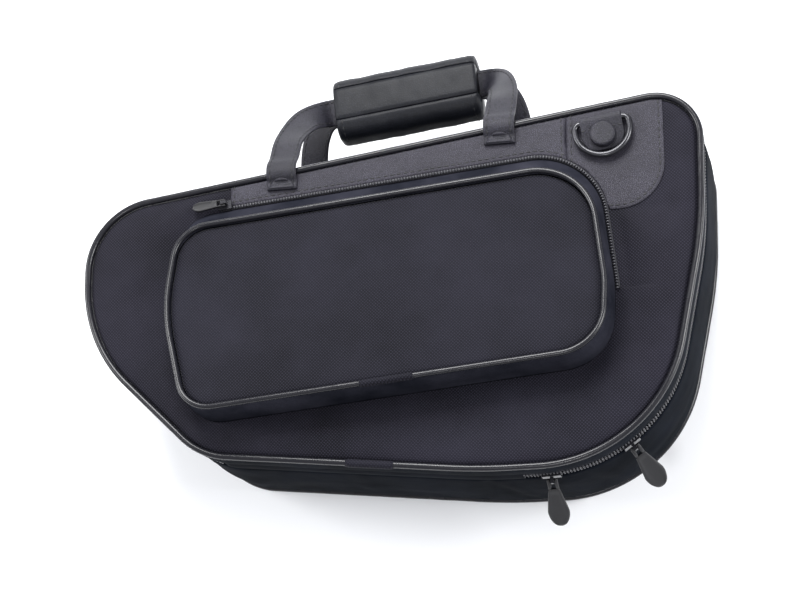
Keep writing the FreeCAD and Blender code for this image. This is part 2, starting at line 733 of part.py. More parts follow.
def pull_form(length, width, fork, droop):
    """A soft forked pull that widens to a rounded paddle; its pin is at the origin."""
    wide = width / 2
    neck = fork / 2
    thick = size("pull_thickness")
    widest = length - wide
    curves = [
        Part.LineSegment(at(-neck, -thick / 2), at(neck, -thick / 2)),
        Part.LineSegment(at(neck, -thick / 2), at(neck, fork)),
        Part.LineSegment(at(neck, fork), at(wide, widest)),
        Part.Arc(at(wide, widest), at(0, length), at(-wide, widest)),
        Part.LineSegment(at(-wide, widest), at(-neck, fork)),
        Part.LineSegment(at(-neck, fork), at(-neck, -thick / 2)),
    ]
    paddle = plate([wire(curves)], thick)
    paddle.translate(at(0, 0, -thick / 2))
    gap = size("bail_width") / 2 + 2 * size("fit")
    notch = Part.makeBox(gap, fork + thick, thick * 2, at(-gap / 2, -thick, -thick))
    pin = Part.makeCylinder(size("pull_pin_hole") / 2, fork, at(-neck, 0), at(1, 0))
    form = paddle.cut(notch).fuse(pin).removeSplitter()
    form.rotate(at(0, 0), at(1, 0), -droop)
    return form


def slider_pair(place, droop):
    slider = slider_form()
    slider.Placement = place
    pull = pull_form(size("pull_length"), size("pull_width"), size("pull_neck"), droop)
    pull.Placement = place.multiply(FreeCAD.Placement(BAIL_PIN, FreeCAD.Rotation())).multiply(pull.Placement)
    return slider, pull


SLIDER_Z = COIL_LOW + (size("zip_gap") + size("slider_post")) / 2 - size("slider_height") / 2
heel_at, heel_radius = corner_list(CASE)[2]
keel_at = corner_list(CASE)[1][0]
hip_at = corner_list(CASE)[3][0]
to_keel = (keel_at - heel_at).normalize()
to_hip = (hip_at - heel_at).normalize()
heel_half = to_keel.getAngle(to_hip) / 2
HEEL_CENTRE = heel_at + (to_keel + to_hip).normalize() * (heel_radius / math.sin(heel_half))


def on_heel(turn):
    """A place on the zip round the lower right corner, turned from straight down."""
    out = at(math.sin(math.radians(turn)), -math.cos(math.radians(turn)))
    point = HEEL_CENTRE + out * heel_radius
    return FreeCAD.Placement(at(point.x, point.y, SLIDER_Z), FreeCAD.Rotation(at(0, 0, 1), 180 + turn))


for letter in ("a", "b"):
    place = on_heel(size(f"slider_{letter}_angle"))
    slider, pull = slider_pair(place, size("pull_droop"))
    keep_shape(slider, "slider_" + letter)
    keep_shape(pull, "pull_" + letter)


# Pocket slider: it straddles the coil on the case side only, so the pocket's edge lifts away freely.
pocket_crown_at = corner_list(POCKET, POCKET_COIL_IN, POCKET_LIFT)[3][0]
pocket_brow_at = corner_list(POCKET, POCKET_COIL_IN, POCKET_LIFT)[4][0]
POCKET_RUN = (pocket_crown_at - pocket_brow_at).normalize()
pocket_start_x = size("pocket_brow_x") + size("pocket_brow_round") + size("pocket_slider_length") / 2
POCKET_START = pocket_brow_at + POCKET_RUN * ((pocket_start_x - pocket_brow_at.x) / POCKET_RUN.x)
POCKET_PLATE_Z = COIL_SEAT + size("pocket_coil") + size("fit")


def pocket_slider_form():
    """A small slider with its path along X and the zip's slit at Y zero."""
    length = size("pocket_slider_length")
    plate_t = size("slider_plate")
    leg_y = size("pocket_coil") + size("fit")
    bail_low = POCKET_PLATE_Z + plate_t
    thin = size("bail_width") / 2
    roof_depth = pocket_pin().y + thin - size("seam_gap")
    roof = Part.makeBox(length, roof_depth, plate_t, at(-length / 2, size("seam_gap"), POCKET_PLATE_Z))
    leg_low = COIL_SEAT + size("fit")
    leg = Part.makeBox(length, plate_t, POCKET_PLATE_Z - leg_low, at(-length / 2, leg_y, leg_low))
    tall = size("bail_height")
    bail = Part.makeBox(tall, thin, tall, at(-tall / 2, pocket_pin().y - thin / 2, bail_low))
    bore = size("pull_pin_hole") / 2 + size("fit")
    hole = Part.makeCylinder(bore, length, pocket_pin() - at(0, length / 2), at(0, 1))
    return roof.fuse([leg, bail]).cut(hole).removeSplitter()


def pocket_pin():
    high = POCKET_PLATE_Z + size("slider_plate") + size("bail_height") / 2
    return at(0, size("pocket_pull_width") / 2 + size("fit"), high)


pocket_place = FreeCAD.Placement(POCKET_START, FreeCAD.Rotation(at(1, 0), POCKET_RUN))
pocket_slider = pocket_slider_form()
pocket_slider.Placement = pocket_place
keep_shape(pocket_slider, "pocket_slider")
small_pull = pull_form(
    size("pocket_pull_length"), size("pocket_pull_width"), size("pocket_pull_neck"), size("pocket_pull_droop")
)
towards_left = FreeCAD.Placement(pocket_pin(), FreeCAD.Rotation(at(0, 0, 1), 90))
small_pull.Placement = pocket_place.multiply(towards_left).multiply(small_pull.Placement)
keep_shape(small_pull, "pocket_pull")


def centre_on_base():
    """Moves every piece so that the bag's box stands with its bottom's middle at the origin."""
    whole = FreeCAD.BoundBox()
    for piece in pieces:
        whole.add(piece.Shape.optimalBoundingBox())
    shift = FreeCAD.Placement(at(-whole.Center.x, -whole.Center.y, -whole.ZMin), FreeCAD.Rotation())
    for piece in pieces:
        piece.Placement = shift.multiply(piece.Placement)
    return shift.Base


doc.recompute()
SHIFT = centre_on_base()
doc.recompute()

for thing in doc.Objects:
    if "Invalid" in thing.State or "Error" in thing.State:
        raise RuntimeError(f"{thing.Name} failed to build")
for piece in pieces:
    if piece.Shape.isNull() or not piece.Shape.isValid():
        raise RuntimeError(f"{piece.Label} has no valid shape")

os.makedirs("parts", exist_ok=True)
for piece in pieces:
    piece.Shape.exportStep(f"parts/{piece.Label}.step")
print(len(pieces), "pieces; moved by", SHIFT)
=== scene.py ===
import math

import bmesh
import bpy
import numpy as np
from mathutils import Matrix, Vector, noise


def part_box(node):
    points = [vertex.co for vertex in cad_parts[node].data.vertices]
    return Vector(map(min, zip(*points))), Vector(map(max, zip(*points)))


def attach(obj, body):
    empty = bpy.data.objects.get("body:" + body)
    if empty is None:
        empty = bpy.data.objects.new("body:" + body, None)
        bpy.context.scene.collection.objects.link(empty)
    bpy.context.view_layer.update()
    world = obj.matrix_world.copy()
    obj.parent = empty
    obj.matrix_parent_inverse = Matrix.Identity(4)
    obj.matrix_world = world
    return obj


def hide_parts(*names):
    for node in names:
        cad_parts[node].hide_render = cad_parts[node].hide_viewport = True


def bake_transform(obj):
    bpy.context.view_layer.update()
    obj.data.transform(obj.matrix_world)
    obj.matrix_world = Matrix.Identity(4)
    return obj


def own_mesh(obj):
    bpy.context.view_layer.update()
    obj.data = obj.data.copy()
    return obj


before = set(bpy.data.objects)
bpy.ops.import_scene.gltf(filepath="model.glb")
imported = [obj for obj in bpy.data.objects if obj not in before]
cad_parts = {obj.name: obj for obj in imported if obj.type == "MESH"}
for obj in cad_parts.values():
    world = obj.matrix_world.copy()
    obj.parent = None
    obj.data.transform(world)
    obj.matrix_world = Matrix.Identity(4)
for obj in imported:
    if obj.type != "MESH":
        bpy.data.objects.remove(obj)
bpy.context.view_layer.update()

# The camera looks down at the bag from a little below its bottom side and to the right of its middle,
# as the photograph does. Its angles are measured from the front face's normal.
MM = 0.001
TILT_DOWN = math.atan(0.30573)
TILT_RIGHT = math.atan(0.24008)
CAMERA_DISTANCE = 1.2
AIM_POINT = Vector((0.01304, -0.02080, 0.10960))
FRAME_PIXELS = 800
FOCAL_PIXELS = 1875
camera_back = Vector((math.tan(TILT_RIGHT), -math.tan(TILT_DOWN), 1)).normalized()
camera_right = Vector((0, 1, 0)).cross(camera_back).normalized()
camera_up = camera_back.cross(camera_right)
camera = bpy.data.objects.new("camera", bpy.data.cameras.new("camera"))
camera.data.sensor_width = 36
bpy.context.scene.view_settings.view_transform = "Standard"
camera.data.lens = FOCAL_PIXELS * camera.data.sensor_width / FRAME_PIXELS
camera_turn = Matrix((camera_right, camera_up, camera_back)).transposed().to_4x4()
camera.matrix_world = Matrix.Translation(AIM_POINT + camera_back * CAMERA_DISTANCE) @ camera_turn
bpy.context.scene.collection.objects.link(camera)
bpy.context.scene.camera = camera


# The table is a plain pale sheet under soft studio lamps: a broad one beyond the handle, a weaker one on
# each side and a dim one near the camera.
def finish(name, colour, rough, metal=0.0):
    """A new material with a plain surface, to which grain and weave are added."""
    made = bpy.data.materials.new(name)
    made.use_nodes = True
    surface = made.node_tree.nodes["Principled BSDF"]
    surface.inputs["Base Color"].default_value = (*colour, 1)
    surface.inputs["Roughness"].default_value = rough
    surface.inputs["Metallic"].default_value = metal
    return made


def sewn(name, points, faces, material):
    """A mesh object whose place is in its points, with doubles merged and faces turned outwards."""
    mesh = bpy.data.meshes.new(name)
    mesh.from_pydata([tuple(p) for p in points], [], [tuple(int(i) for i in f) for f in faces])
    mesh.materials.append(material)
    work = bmesh.new()
    work.from_mesh(mesh)
    bmesh.ops.remove_doubles(work, verts=work.verts, dist=0.00002)
    bmesh.ops.recalc_face_normals(work, faces=work.faces)
    work.to_mesh(mesh)
    work.free()
    mesh.polygons.foreach_set("use_smooth", [True] * len(mesh.polygons))
    made = bpy.data.objects.new(name, mesh)
    bpy.context.scene.collection.objects.link(made)
    return made


TABLE_HALF = 4.0
table_corners = [(x * TABLE_HALF, y * TABLE_HALF, 0) for x, y in ((-1, -1), (1, -1), (1, 1), (-1, 1))]
table = sewn("table", table_corners, [(0, 1, 2, 3)], finish("table_top", (0.88, 0.89, 0.91), 0.7))


def softbox(name, place, size, watts):
    """A square lamp that faces the bag."""
    light = bpy.data.objects.new(name, bpy.data.lights.new(name, "AREA"))
    light.data.shape = "SQUARE"
    light.data.size = size
    light.data.energy = watts
    light.location = place
    light.rotation_euler = (Vector((0, 0, 0.08)) - Vector(place)).to_track_quat("-Z", "Y").to_euler()
    bpy.context.scene.collection.objects.link(light)


softbox("lamp_top", (-0.1, 1.1, 1.3), 0.9, 46)
softbox("lamp_left", (-1.4, 0.2, 1.0), 0.8, 20)
softbox("lamp_right", (1.5, 0.0, 0.9), 0.7, 26)
softbox("lamp_camera", (0.1, -0.9, 1.7), 0.35, 8)
room = bpy.data.worlds.new("studio")
bpy.context.scene.world = room
room.use_nodes = True
room.node_tree.nodes["Background"].inputs["Color"].default_value = (0.95, 0.96, 1.0, 1)
room.node_tree.nodes["Background"].inputs["Strength"].default_value = 0.55

# The lid's front face is ballistic cloth over foam, cut to the case's outline. It is held flat where the
# pocket and the leatherette are sewn on it, and swells between them and the piping.
CASE_CORNERS = (
    (-131, -98.4, 50), (50, -115.6, 400), (163, -114.5, 95), (194, 32, 260),
    (196.5, 126.3, 30), (-215, 72.6, 47), (-214, -19, 100),
)
POCKET_CORNERS = (
    (-133, -74.4, 22), (132.5, -49.2, 30), (134.5, -5, 80),
    (124.5, 75.7, 40), (-146, 51.8, 24), (-151.5, -5, 120),
)
CLOTH_STEP = 2.5


def spread(corners, grow, top_lift=0):
    """Corners moved outwards by grow; the pocket's two top ones are also moved towards the handle."""
    lifted = [Vector((x, y + (top_lift if 3 <= i <= 4 else 0))) for i, (x, y, r) in enumerate(corners)]
    moved = []
    for i, (x, y, r) in enumerate(corners):
        here = lifted[i]
        before = (here - lifted[i - 1]).normalized()
        after = (lifted[(i + 1) % len(corners)] - here).normalized()
        bisector = Vector((before.y + after.y, -before.x - after.x)).normalized()
        place = here + bisector * (grow / bisector.dot(Vector((before.y, -before.x))))
        moved.append((place.x, place.y, r + grow))
    return moved


def rounded(corners, counts=None):
    """Points round an outline in millimetres, the way out at each, and how many each arc and side has."""
    plain = [Vector(c[:2]) for c in corners]
    arcs = []
    for i, (corner, data) in enumerate(zip(plain, corners)):
        back = (plain[i - 1] - corner).normalized()
        ahead = (plain[(i + 1) % len(plain)] - corner).normalized()
        half = back.angle(ahead) / 2
        centre = corner + (back + ahead).normalized() * (data[2] / math.sin(half))
        start = corner + back * (data[2] / math.tan(half)) - centre
        arcs.append((centre, math.atan2(start.y, start.x), math.pi - 2 * half, data[2]))
    if counts is None:
        counts = []
        for i, (centre, angle, sweep, radius) in enumerate(arcs):
            after = arcs[(i + 1) % len(arcs)]
            side = (after[0] - centre).length
            counts.append((max(8, round(sweep * radius / CLOTH_STEP)), max(4, round(side / CLOTH_STEP))))
    points, ways = [], []
    for i, (centre, angle, sweep, radius) in enumerate(arcs):
        after = arcs[(i + 1) % len(arcs)]
        around, beside = counts[i]
        for k in range(around):
            way = Vector((math.cos(angle + sweep * k / around), math.sin(angle + sweep * k / around)))
            points.append(centre + way * radius)
            ways.append(way)
        way = Vector((math.cos(angle + sweep), math.sin(angle + sweep)))
        first, last = centre + way * radius, after[0] + way * after[3]
        for k in range(beside):
            points.append(first + (last - first) * (k / beside))
            ways.append(way)
    return np.array([tuple(p) for p in points]), np.array([tuple(w) for w in ways]), counts


case_line, case_out, case_counts = rounded(CASE_CORNERS)
wall_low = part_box("back_gusset")[0]
SHIFT = np.array([wall_low.x / MM - case_line[:, 0].min(), wall_low.y / MM - case_line[:, 1].min()])
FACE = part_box("front_panel")[1].z / MM
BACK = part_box("back_panel")[0].z / MM
POCKET_LIFT = 8
face_line, face_out, pocket_counts = rounded(POCKET_CORNERS)
bed_line, bed_out, _ = rounded(spread(POCKET_CORNERS, 4.5, POCKET_LIFT), pocket_counts)


def placed(flat, z):
    """Points of the bag's plan and their heights, in millimetres, put in the bag's frame."""
    flat = np.asarray(flat, float)
    return np.column_stack([flat + SHIFT, np.broadcast_to(z, len(flat))]) * MM


def distance(flat, line, out):
    """How far points lie from an outline, less than zero inside it."""
    gaps = flat[:, None, :] - line[None, :, :]
    far = (gaps ** 2).sum(axis=2)
    near = far.argmin(axis=1)
    side = np.einsum("ij,ij->i", gaps[np.arange(len(flat)), near], out[near])
    return np.sqrt(far[np.arange(len(flat)), near]) * np.sign(side)


def wave(points, size, seed, stretch=(1, 1, 1)):
    """Smooth noise from -1 to 1 at places in millimetres, for bumps of a size."""
    scaled = np.asarray(points) * np.array(stretch[: np.shape(points)[1]]) / size
    if scaled.shape[1] == 2:
        scaled = np.column_stack([scaled, np.zeros(len(scaled))])
    return np.array([noise.noise(Vector(p) + Vector((seed, seed * 1.7, -seed))) for p in scaled])


LID_SWELL = 3.0
YOKE_LEFT, PATCH_RIGHT, PATCH_BOTTOM = -115, 172, 47


def lid_swell(flat):
    """How far the lid's cloth stands up between what is sewn on it."""
    edge = -distance(flat, case_line, case_out) - 3
    zip_side = (flat[:, 1] > -5) & (flat[:, 0] > -135)
    bed = distance(flat, bed_line, bed_out) - np.where(zip_side, 8, 0.5)
    beside = np.maximum(np.maximum(YOKE_LEFT - flat[:, 0], flat[:, 0] - PATCH_RIGHT), 0)
    sheet = np.hypot(beside, np.maximum(PATCH_BOTTOM - flat[:, 1], 0))
    free = [1 - np.exp(-np.clip(gap, 0, None) / reach) for gap, reach in ((edge, 9), (bed, 9), (sheet, 11))]
    shape = np.minimum(np.minimum(free[0], free[1]), free[2])
    return shape * (LID_SWELL + 0.9 * wave(flat, 55, 3, (1, 1.5, 1)) + 0.35 * wave(flat, 22, 8))


RIDGE_STEP = 5


def face_rings(line, out, ridge, reach=14, near=7, far=34):
    """Rings of plan points from a face's edge inwards, closing on a ridge line."""
    rings = [line - out * (reach * (k / near) ** 1.4) for k in range(near)]
    inner = line - out * reach
    span = ridge[1][0] - ridge[0][0]
    share = np.round(np.clip((inner[:, 0] - ridge[0][0]) / span, 0, 1) * span / RIDGE_STEP) * RIDGE_STEP / span
    along = ridge[0][0] + share * span
    middle = np.column_stack([along, ridge[0][1] + share * (ridge[1][1] - ridge[0][1])])
    return rings + [inner + (middle - inner) * (k / (far - 1)) for k in range(far)]


def band(name, rows, material, closed_path=True, closed_section=True):
    """A skin over rows of points; each row runs the same way along a path."""
    count, levels = len(rows[0]), len(rows)
    faces = []
    for r in range(levels if closed_section else levels - 1):
        for c in range(count if closed_path else count - 1):
            a, b = r * count + c, r * count + (c + 1) % count
            up = ((r + 1) % levels - r) * count
            faces.append((a, b, b + up, a + up))
    if closed_section and not closed_path:
        faces.append([r * count for r in range(levels)])
        faces.append([r * count + count - 1 for r in range(levels)])
    return sewn(name, np.concatenate(rows), faces, material)


def add(tree, kind, values=None, **settings):
    """A node of a tree, with its settings and the values of some inputs."""
    made = tree.nodes.new(kind)
    for key, value in settings.items():
        setattr(made, key, value)
    for key, value in (values or {}).items():
        made.inputs[key].default_value = value
    return made


def pattern(tree, kind, values=None, **settings):
    """A pattern that reads its place on the piece itself."""
    place = tree.nodes.get("Texture Coordinate") or add(tree, "ShaderNodeTexCoord")
    made = add(tree, kind, values, **settings)
    tree.links.new(place.outputs["Object"], made.inputs["Vector"])
    return made


def shade(tree, height, low, high, dark, light):
    """Colours the surface from dark to light between two values of a pattern."""
    ramp = add(tree, "ShaderNodeValToRGB")
    for stop, place, colour in zip(ramp.color_ramp.elements, (low, high), (dark, light)):
        stop.position = place
        stop.color = (*colour, 1)
    tree.links.new(height, ramp.inputs["Fac"])
    tree.links.new(ramp.outputs["Color"], tree.nodes["Principled BSDF"].inputs["Base Color"])


def emboss(tree, height, strength, depth, over=None):
    """Raises the surface by a pattern, over a finer relief where there is one."""
    bump = add(tree, "ShaderNodeBump", {"Strength": strength, "Distance": depth})
    tree.links.new(height, bump.inputs["Height"])
    if over:
        tree.links.new(over.outputs["Normal"], bump.inputs["Normal"])
    tree.links.new(bump.outputs["Normal"], tree.nodes["Principled BSDF"].inputs["Normal"])
    return bump


def woven(name, dark, light, clouds, pitch=1.5):
    """Cloth of crossing yarns laid at 45 degrees, with faint cloudy patches where its surface is rubbed."""
    made = finish(name, dark, 0.65)
    tree = made.node_tree
    surface = tree.nodes["Principled BSDF"]
    spun = pattern(tree, "ShaderNodeMapping", {"Rotation": (0, 0, math.radians(45))})
    cross = add(tree, "ShaderNodeMath", operation="MULTIPLY")
    bands = {"Scale": math.pi / (10 * pitch * MM), "Distortion": 0.7, "Detail": 1.0, "Detail Scale": 1.5}
    for place, direction in enumerate(("X", "Y")):
        yarn = add(tree, "ShaderNodeTexWave", bands, bands_direction=direction)
        tree.links.new(spun.outputs["Vector"], yarn.inputs["Vector"])
        tree.links.new(yarn.outputs["Fac"], cross.inputs[place])
    cloud = pattern(tree, "ShaderNodeTexNoise", {"Scale": clouds, "Detail": 4.0, "Roughness": 0.65})
    both = add(tree, "ShaderNodeMath", {1: 0.8}, operation="MULTIPLY_ADD")
    tree.links.new(cross.outputs[0], both.inputs[0])
    tree.links.new(cloud.outputs["Fac"], both.inputs[2])
    shade(tree, both.outputs[0], 0.35, 1.0, dark, light)
    emboss(tree, cross.outputs[0], 0.5, 0.0004)
    surface.inputs["Sheen Weight"].default_value = 0.02
    surface.inputs["Sheen Roughness"].default_value = 0.5
    surface.inputs["Specular IOR Level"].default_value = 0.08
    return made


def mount(made, body, slot, *solids, fill=None):
    """Puts a skin on its body in place of the solids that it covers; fill, how full a padded one is, is not used."""
    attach(made, body)
    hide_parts(*solids)


ballistic = woven("ballistic_cloth", (0.003, 0.003, 0.0045), (0.019, 0.018, 0.028), 9)
PANEL_INSET = 3.0
CASE_RIDGE = ((-110, 0), (95, 8))
panel_line = case_line - case_out * PANEL_INSET
rows = []
for k, ring in enumerate(face_rings(panel_line, case_out, CASE_RIDGE)):
    tuck = -1.3 * math.exp(-k * 1.2)
    rows.append(placed(ring, FACE - 0.1 + tuck + lid_swell(ring)))
lid_face = band("lid_face", rows, ballistic, closed_section=False)
mount(lid_face, "lid", "twist", "front_panel", fill=0.6)


# The case's wide wall and the lid's narrow one are smoother nylon over foam. They belly a little between
# their seams, crease where the bag is bent, and are hemmed along the zip.
def smooth_nylon(name, dark, light):
    """Fine cloth whose weave shows only as a soft grain, with long faint shadows of folds."""
    made = finish(name, dark, 0.7)
    tree = made.node_tree
    surface = tree.nodes["Principled BSDF"]
    cloud = pattern(tree, "ShaderNodeTexNoise", {"Scale": 22, "Detail": 5.0, "Roughness": 0.6})
    grain = pattern(tree, "ShaderNodeTexVoronoi", {"Scale": 1500})
    fold = pattern(tree, "ShaderNodeTexNoise", {"Scale": 45, "Detail": 2.0, "Distortion": 0.6})
    shade(tree, cloud.outputs["Fac"], 0.35, 0.75, dark, light)
    fine = emboss(tree, grain.outputs["Distance"], 0.25, 0.0002)
    emboss(tree, fold.outputs["Fac"], 0.35, 0.0015, fine)
    surface.inputs["Specular IOR Level"].default_value = 0.015
    return made


wall_nylon = smooth_nylon("wall_nylon", (0.003, 0.004, 0.006), (0.009, 0.011, 0.016))
WALL_CLOTH = 1.2
HEM_ROLL = 0.5
# Creases of the case's wall: where along the outline, the lean, the width and the depth, in millimetres.
WALL_CREASES = (
    (42, 0.22, 3.0, 1.6), (60, -0.3, 5.0, 0.7), (-46, 0.15, 6.0, 0.6), (118, -0.25, 5.0, 0.8), (-104, 0.3, 5.0, 0.8),
)


def wall_rows(low, high, belly, waves, creases):
    """Rows of a wall's closed section: up its outside, over the hem and down its inside."""
    made = []
    levels = max(9, int((high - low) / 3.2))
    for k in range(levels + 1):
        share = k / levels
        z = low + (high - low) * share
        bow = math.sin(math.pi * share) ** 0.7
        places = np.column_stack([case_line, np.full(len(case_line), z)])
        grow = belly * bow + waves * bow * wave(places, 38, 5, (1, 1, 1.8))
        grow += waves * 0.5 * bow * wave(places, 17, 9)
        bottom = (case_line[:, 1] < -90).astype(float)
        for x, lean, width, depth in creases:
            across = case_line[:, 0] - x - lean * (z - (low + high) / 2)
            ridge = np.exp(-((across - width * 1.5) / width) ** 2) * 0.5
            grow += bottom * bow * depth * (ridge - np.exp(-(across / width) ** 2))
        made.append(placed(case_line + case_out * grow[:, None], z))
    for inset, z in ((HEM_ROLL, high + HEM_ROLL / 2), (WALL_CLOTH, high), (WALL_CLOTH, low)):
        made.append(placed(case_line - case_out * inset, z))
    return made


low, high = (edge.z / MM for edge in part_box("back_gusset"))
case_wall = band("case_wall", wall_rows(low, high, 1.9, 0.9, WALL_CREASES), wall_nylon)
mount(case_wall, "case", "wall_cloth", "back_gusset", fill=0.6)
low, high = (edge.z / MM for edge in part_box("front_gusset"))
lid_wall = band("lid_wall", wall_rows(low, high, 0.9, 0.3, ()), wall_nylon)
mount(lid_wall, "lid", "wall_cloth", "front_gusset", fill=0.5)

# Where no zip runs, along the bottom, the walls are one cloth: this strip of it is where the bag folds when the lid
# opens. It is built as one fixed mesh that does not bend.
fold_box = [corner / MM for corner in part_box("fold_panel")]
FOLD_LEFT, FOLD_RIGHT = fold_box[0].x - SHIFT[0], fold_box[1].x - SHIFT[0]
on_bottom = (case_line[:, 1] < -70) & (case_line[:, 0] > FOLD_LEFT) & (case_line[:, 0] < FOLD_RIGHT)
fold_line, fold_out = case_line[on_bottom], case_out[on_bottom]
FOLD_LEVELS = 10
rows = []
for k in range(FOLD_LEVELS + 1):
    share = k / FOLD_LEVELS
    z = fold_box[0].z + (fold_box[1].z - fold_box[0].z) * share
    bow = math.sin(math.pi * share)
    grow = 0.5 * bow + 0.3 * wave(np.column_stack([fold_line, np.full(len(fold_line), z)]), 14, 4)
    rows.append(placed(fold_line + fold_out * grow[:, None] * bow, z))
for k in range(FOLD_LEVELS + 1):
    z = fold_box[1].z + (fold_box[0].z - fold_box[1].z) * k / FOLD_LEVELS
    rows.append(placed(fold_line - fold_out * WALL_CLOTH, z))
fold_strip = band("fold_strip", rows, wall_nylon, closed_path=False)
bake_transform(fold_strip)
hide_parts("fold_panel")


# Glossy vinyl piping is sewn into the seams round both faces. The back one is pressed flat where the bag
# lies on it.
def scuffed(tree, wear, rough):
    """Makes a glossy surface duller and brighter in patches."""
    gloss = add(tree, "ShaderNodeMapRange", {"To Min": rough * 0.7, "To Max": rough * 1.5})
    tree.links.new(wear, gloss.inputs["Value"])
    tree.links.new(gloss.outputs["Result"], tree.nodes["Principled BSDF"].inputs["Roughness"])


def vinyl(name, colour, rough):
    """Thin shiny vinyl with the small wrinkles it takes over a cord."""
    made = finish(name, colour, rough)
    tree = made.node_tree
    surface = tree.nodes["Principled BSDF"]
    wrinkle = pattern(tree, "ShaderNodeTexNoise", {"Scale": 380, "Detail": 2.0, "Distortion": 0.4})
    scuff = pattern(tree, "ShaderNodeTexNoise", {"Scale": 60, "Detail": 4.0})
    emboss(tree, wrinkle.outputs["Fac"], 0.08, 0.0004)
    scuffed(tree, scuff.outputs["Fac"], rough)
    surface.inputs["Specular IOR Level"].default_value = 0.35
    return made


piping_vinyl = vinyl("piping_vinyl", (0.009, 0.009, 0.012), 0.24)
CORD_SIDES = 14


def cord_rows(line, out, inset, middle_z, radius, seed):
    """Rows round a cord that follows an outline; its cover is a little uneven."""
    spots = line - out * inset
    uneven = 1 + 0.035 * wave(spots, 9, seed) + 0.03 * wave(spots, 31, seed + 2)
    made = []
    for k in range(CORD_SIDES):
        turn = 2 * math.pi * k / CORD_SIDES
        flat = spots + out * (math.cos(turn) * radius * uneven)[:, None]
        made.append((flat, middle_z + math.sin(turn) * radius * uneven))
    return made


PIPING_INSET = 0.7
PIPING_RADIUS = 2.15
for name, body, seed in (("front_piping", "lid", 2), ("back_piping", "case", 6)):
    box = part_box(name)
    middle_z = (box[1].z if body == "case" else box[0].z) / MM + (-2.2 if body == "case" else 2.2)
    cord = cord_rows(case_line, case_out, PIPING_INSET, middle_z, PIPING_RADIUS, seed)
    rows = [placed(flat, np.maximum(z, 0)) for flat, z in cord]
    made = band("lid_piping" if body == "lid" else "case_piping", rows, piping_vinyl)
    mount(made, body, "piping", name)
PIPING_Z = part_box("front_piping")[0].z / MM + 2.2


# The main zip is a nylon coil on woven tape, sewn inside the hems of both walls. It runs round everything
# but the bottom fold.
def open_run(line, out, leave_out):
    """The part of a closed outline that isn't left out, in one run."""
    if leave_out[0]:
        start = int(np.flatnonzero(np.diff(leave_out.astype(int)) == -1)[0])
    else:
        start = int(np.flatnonzero(leave_out)[-1])
    order = np.roll(np.arange(len(line)), -start - 1)
    order = order[~leave_out[order]]
    return line[order], out[order]


def ribbed(name, colour, pitch):
    """Zip tape: matt cloth with fine ribs along and across it."""
    made = finish(name, colour, 0.75)
    tree = made.node_tree
    rib_scale = math.pi / (10 * pitch * MM)
    ribs = pattern(tree, "ShaderNodeTexWave", {"Scale": rib_scale, "Distortion": 0.4}, bands_direction="Z")
    fleck = pattern(tree, "ShaderNodeTexNoise", {"Scale": 900, "Detail": 2.0})
    both = add(tree, "ShaderNodeMath", operation="ADD")
    tree.links.new(ribs.outputs["Fac"], both.inputs[0])
    tree.links.new(fleck.outputs["Fac"], both.inputs[1])
    emboss(tree, both.outputs[0], 0.5, 0.0003)
    return made


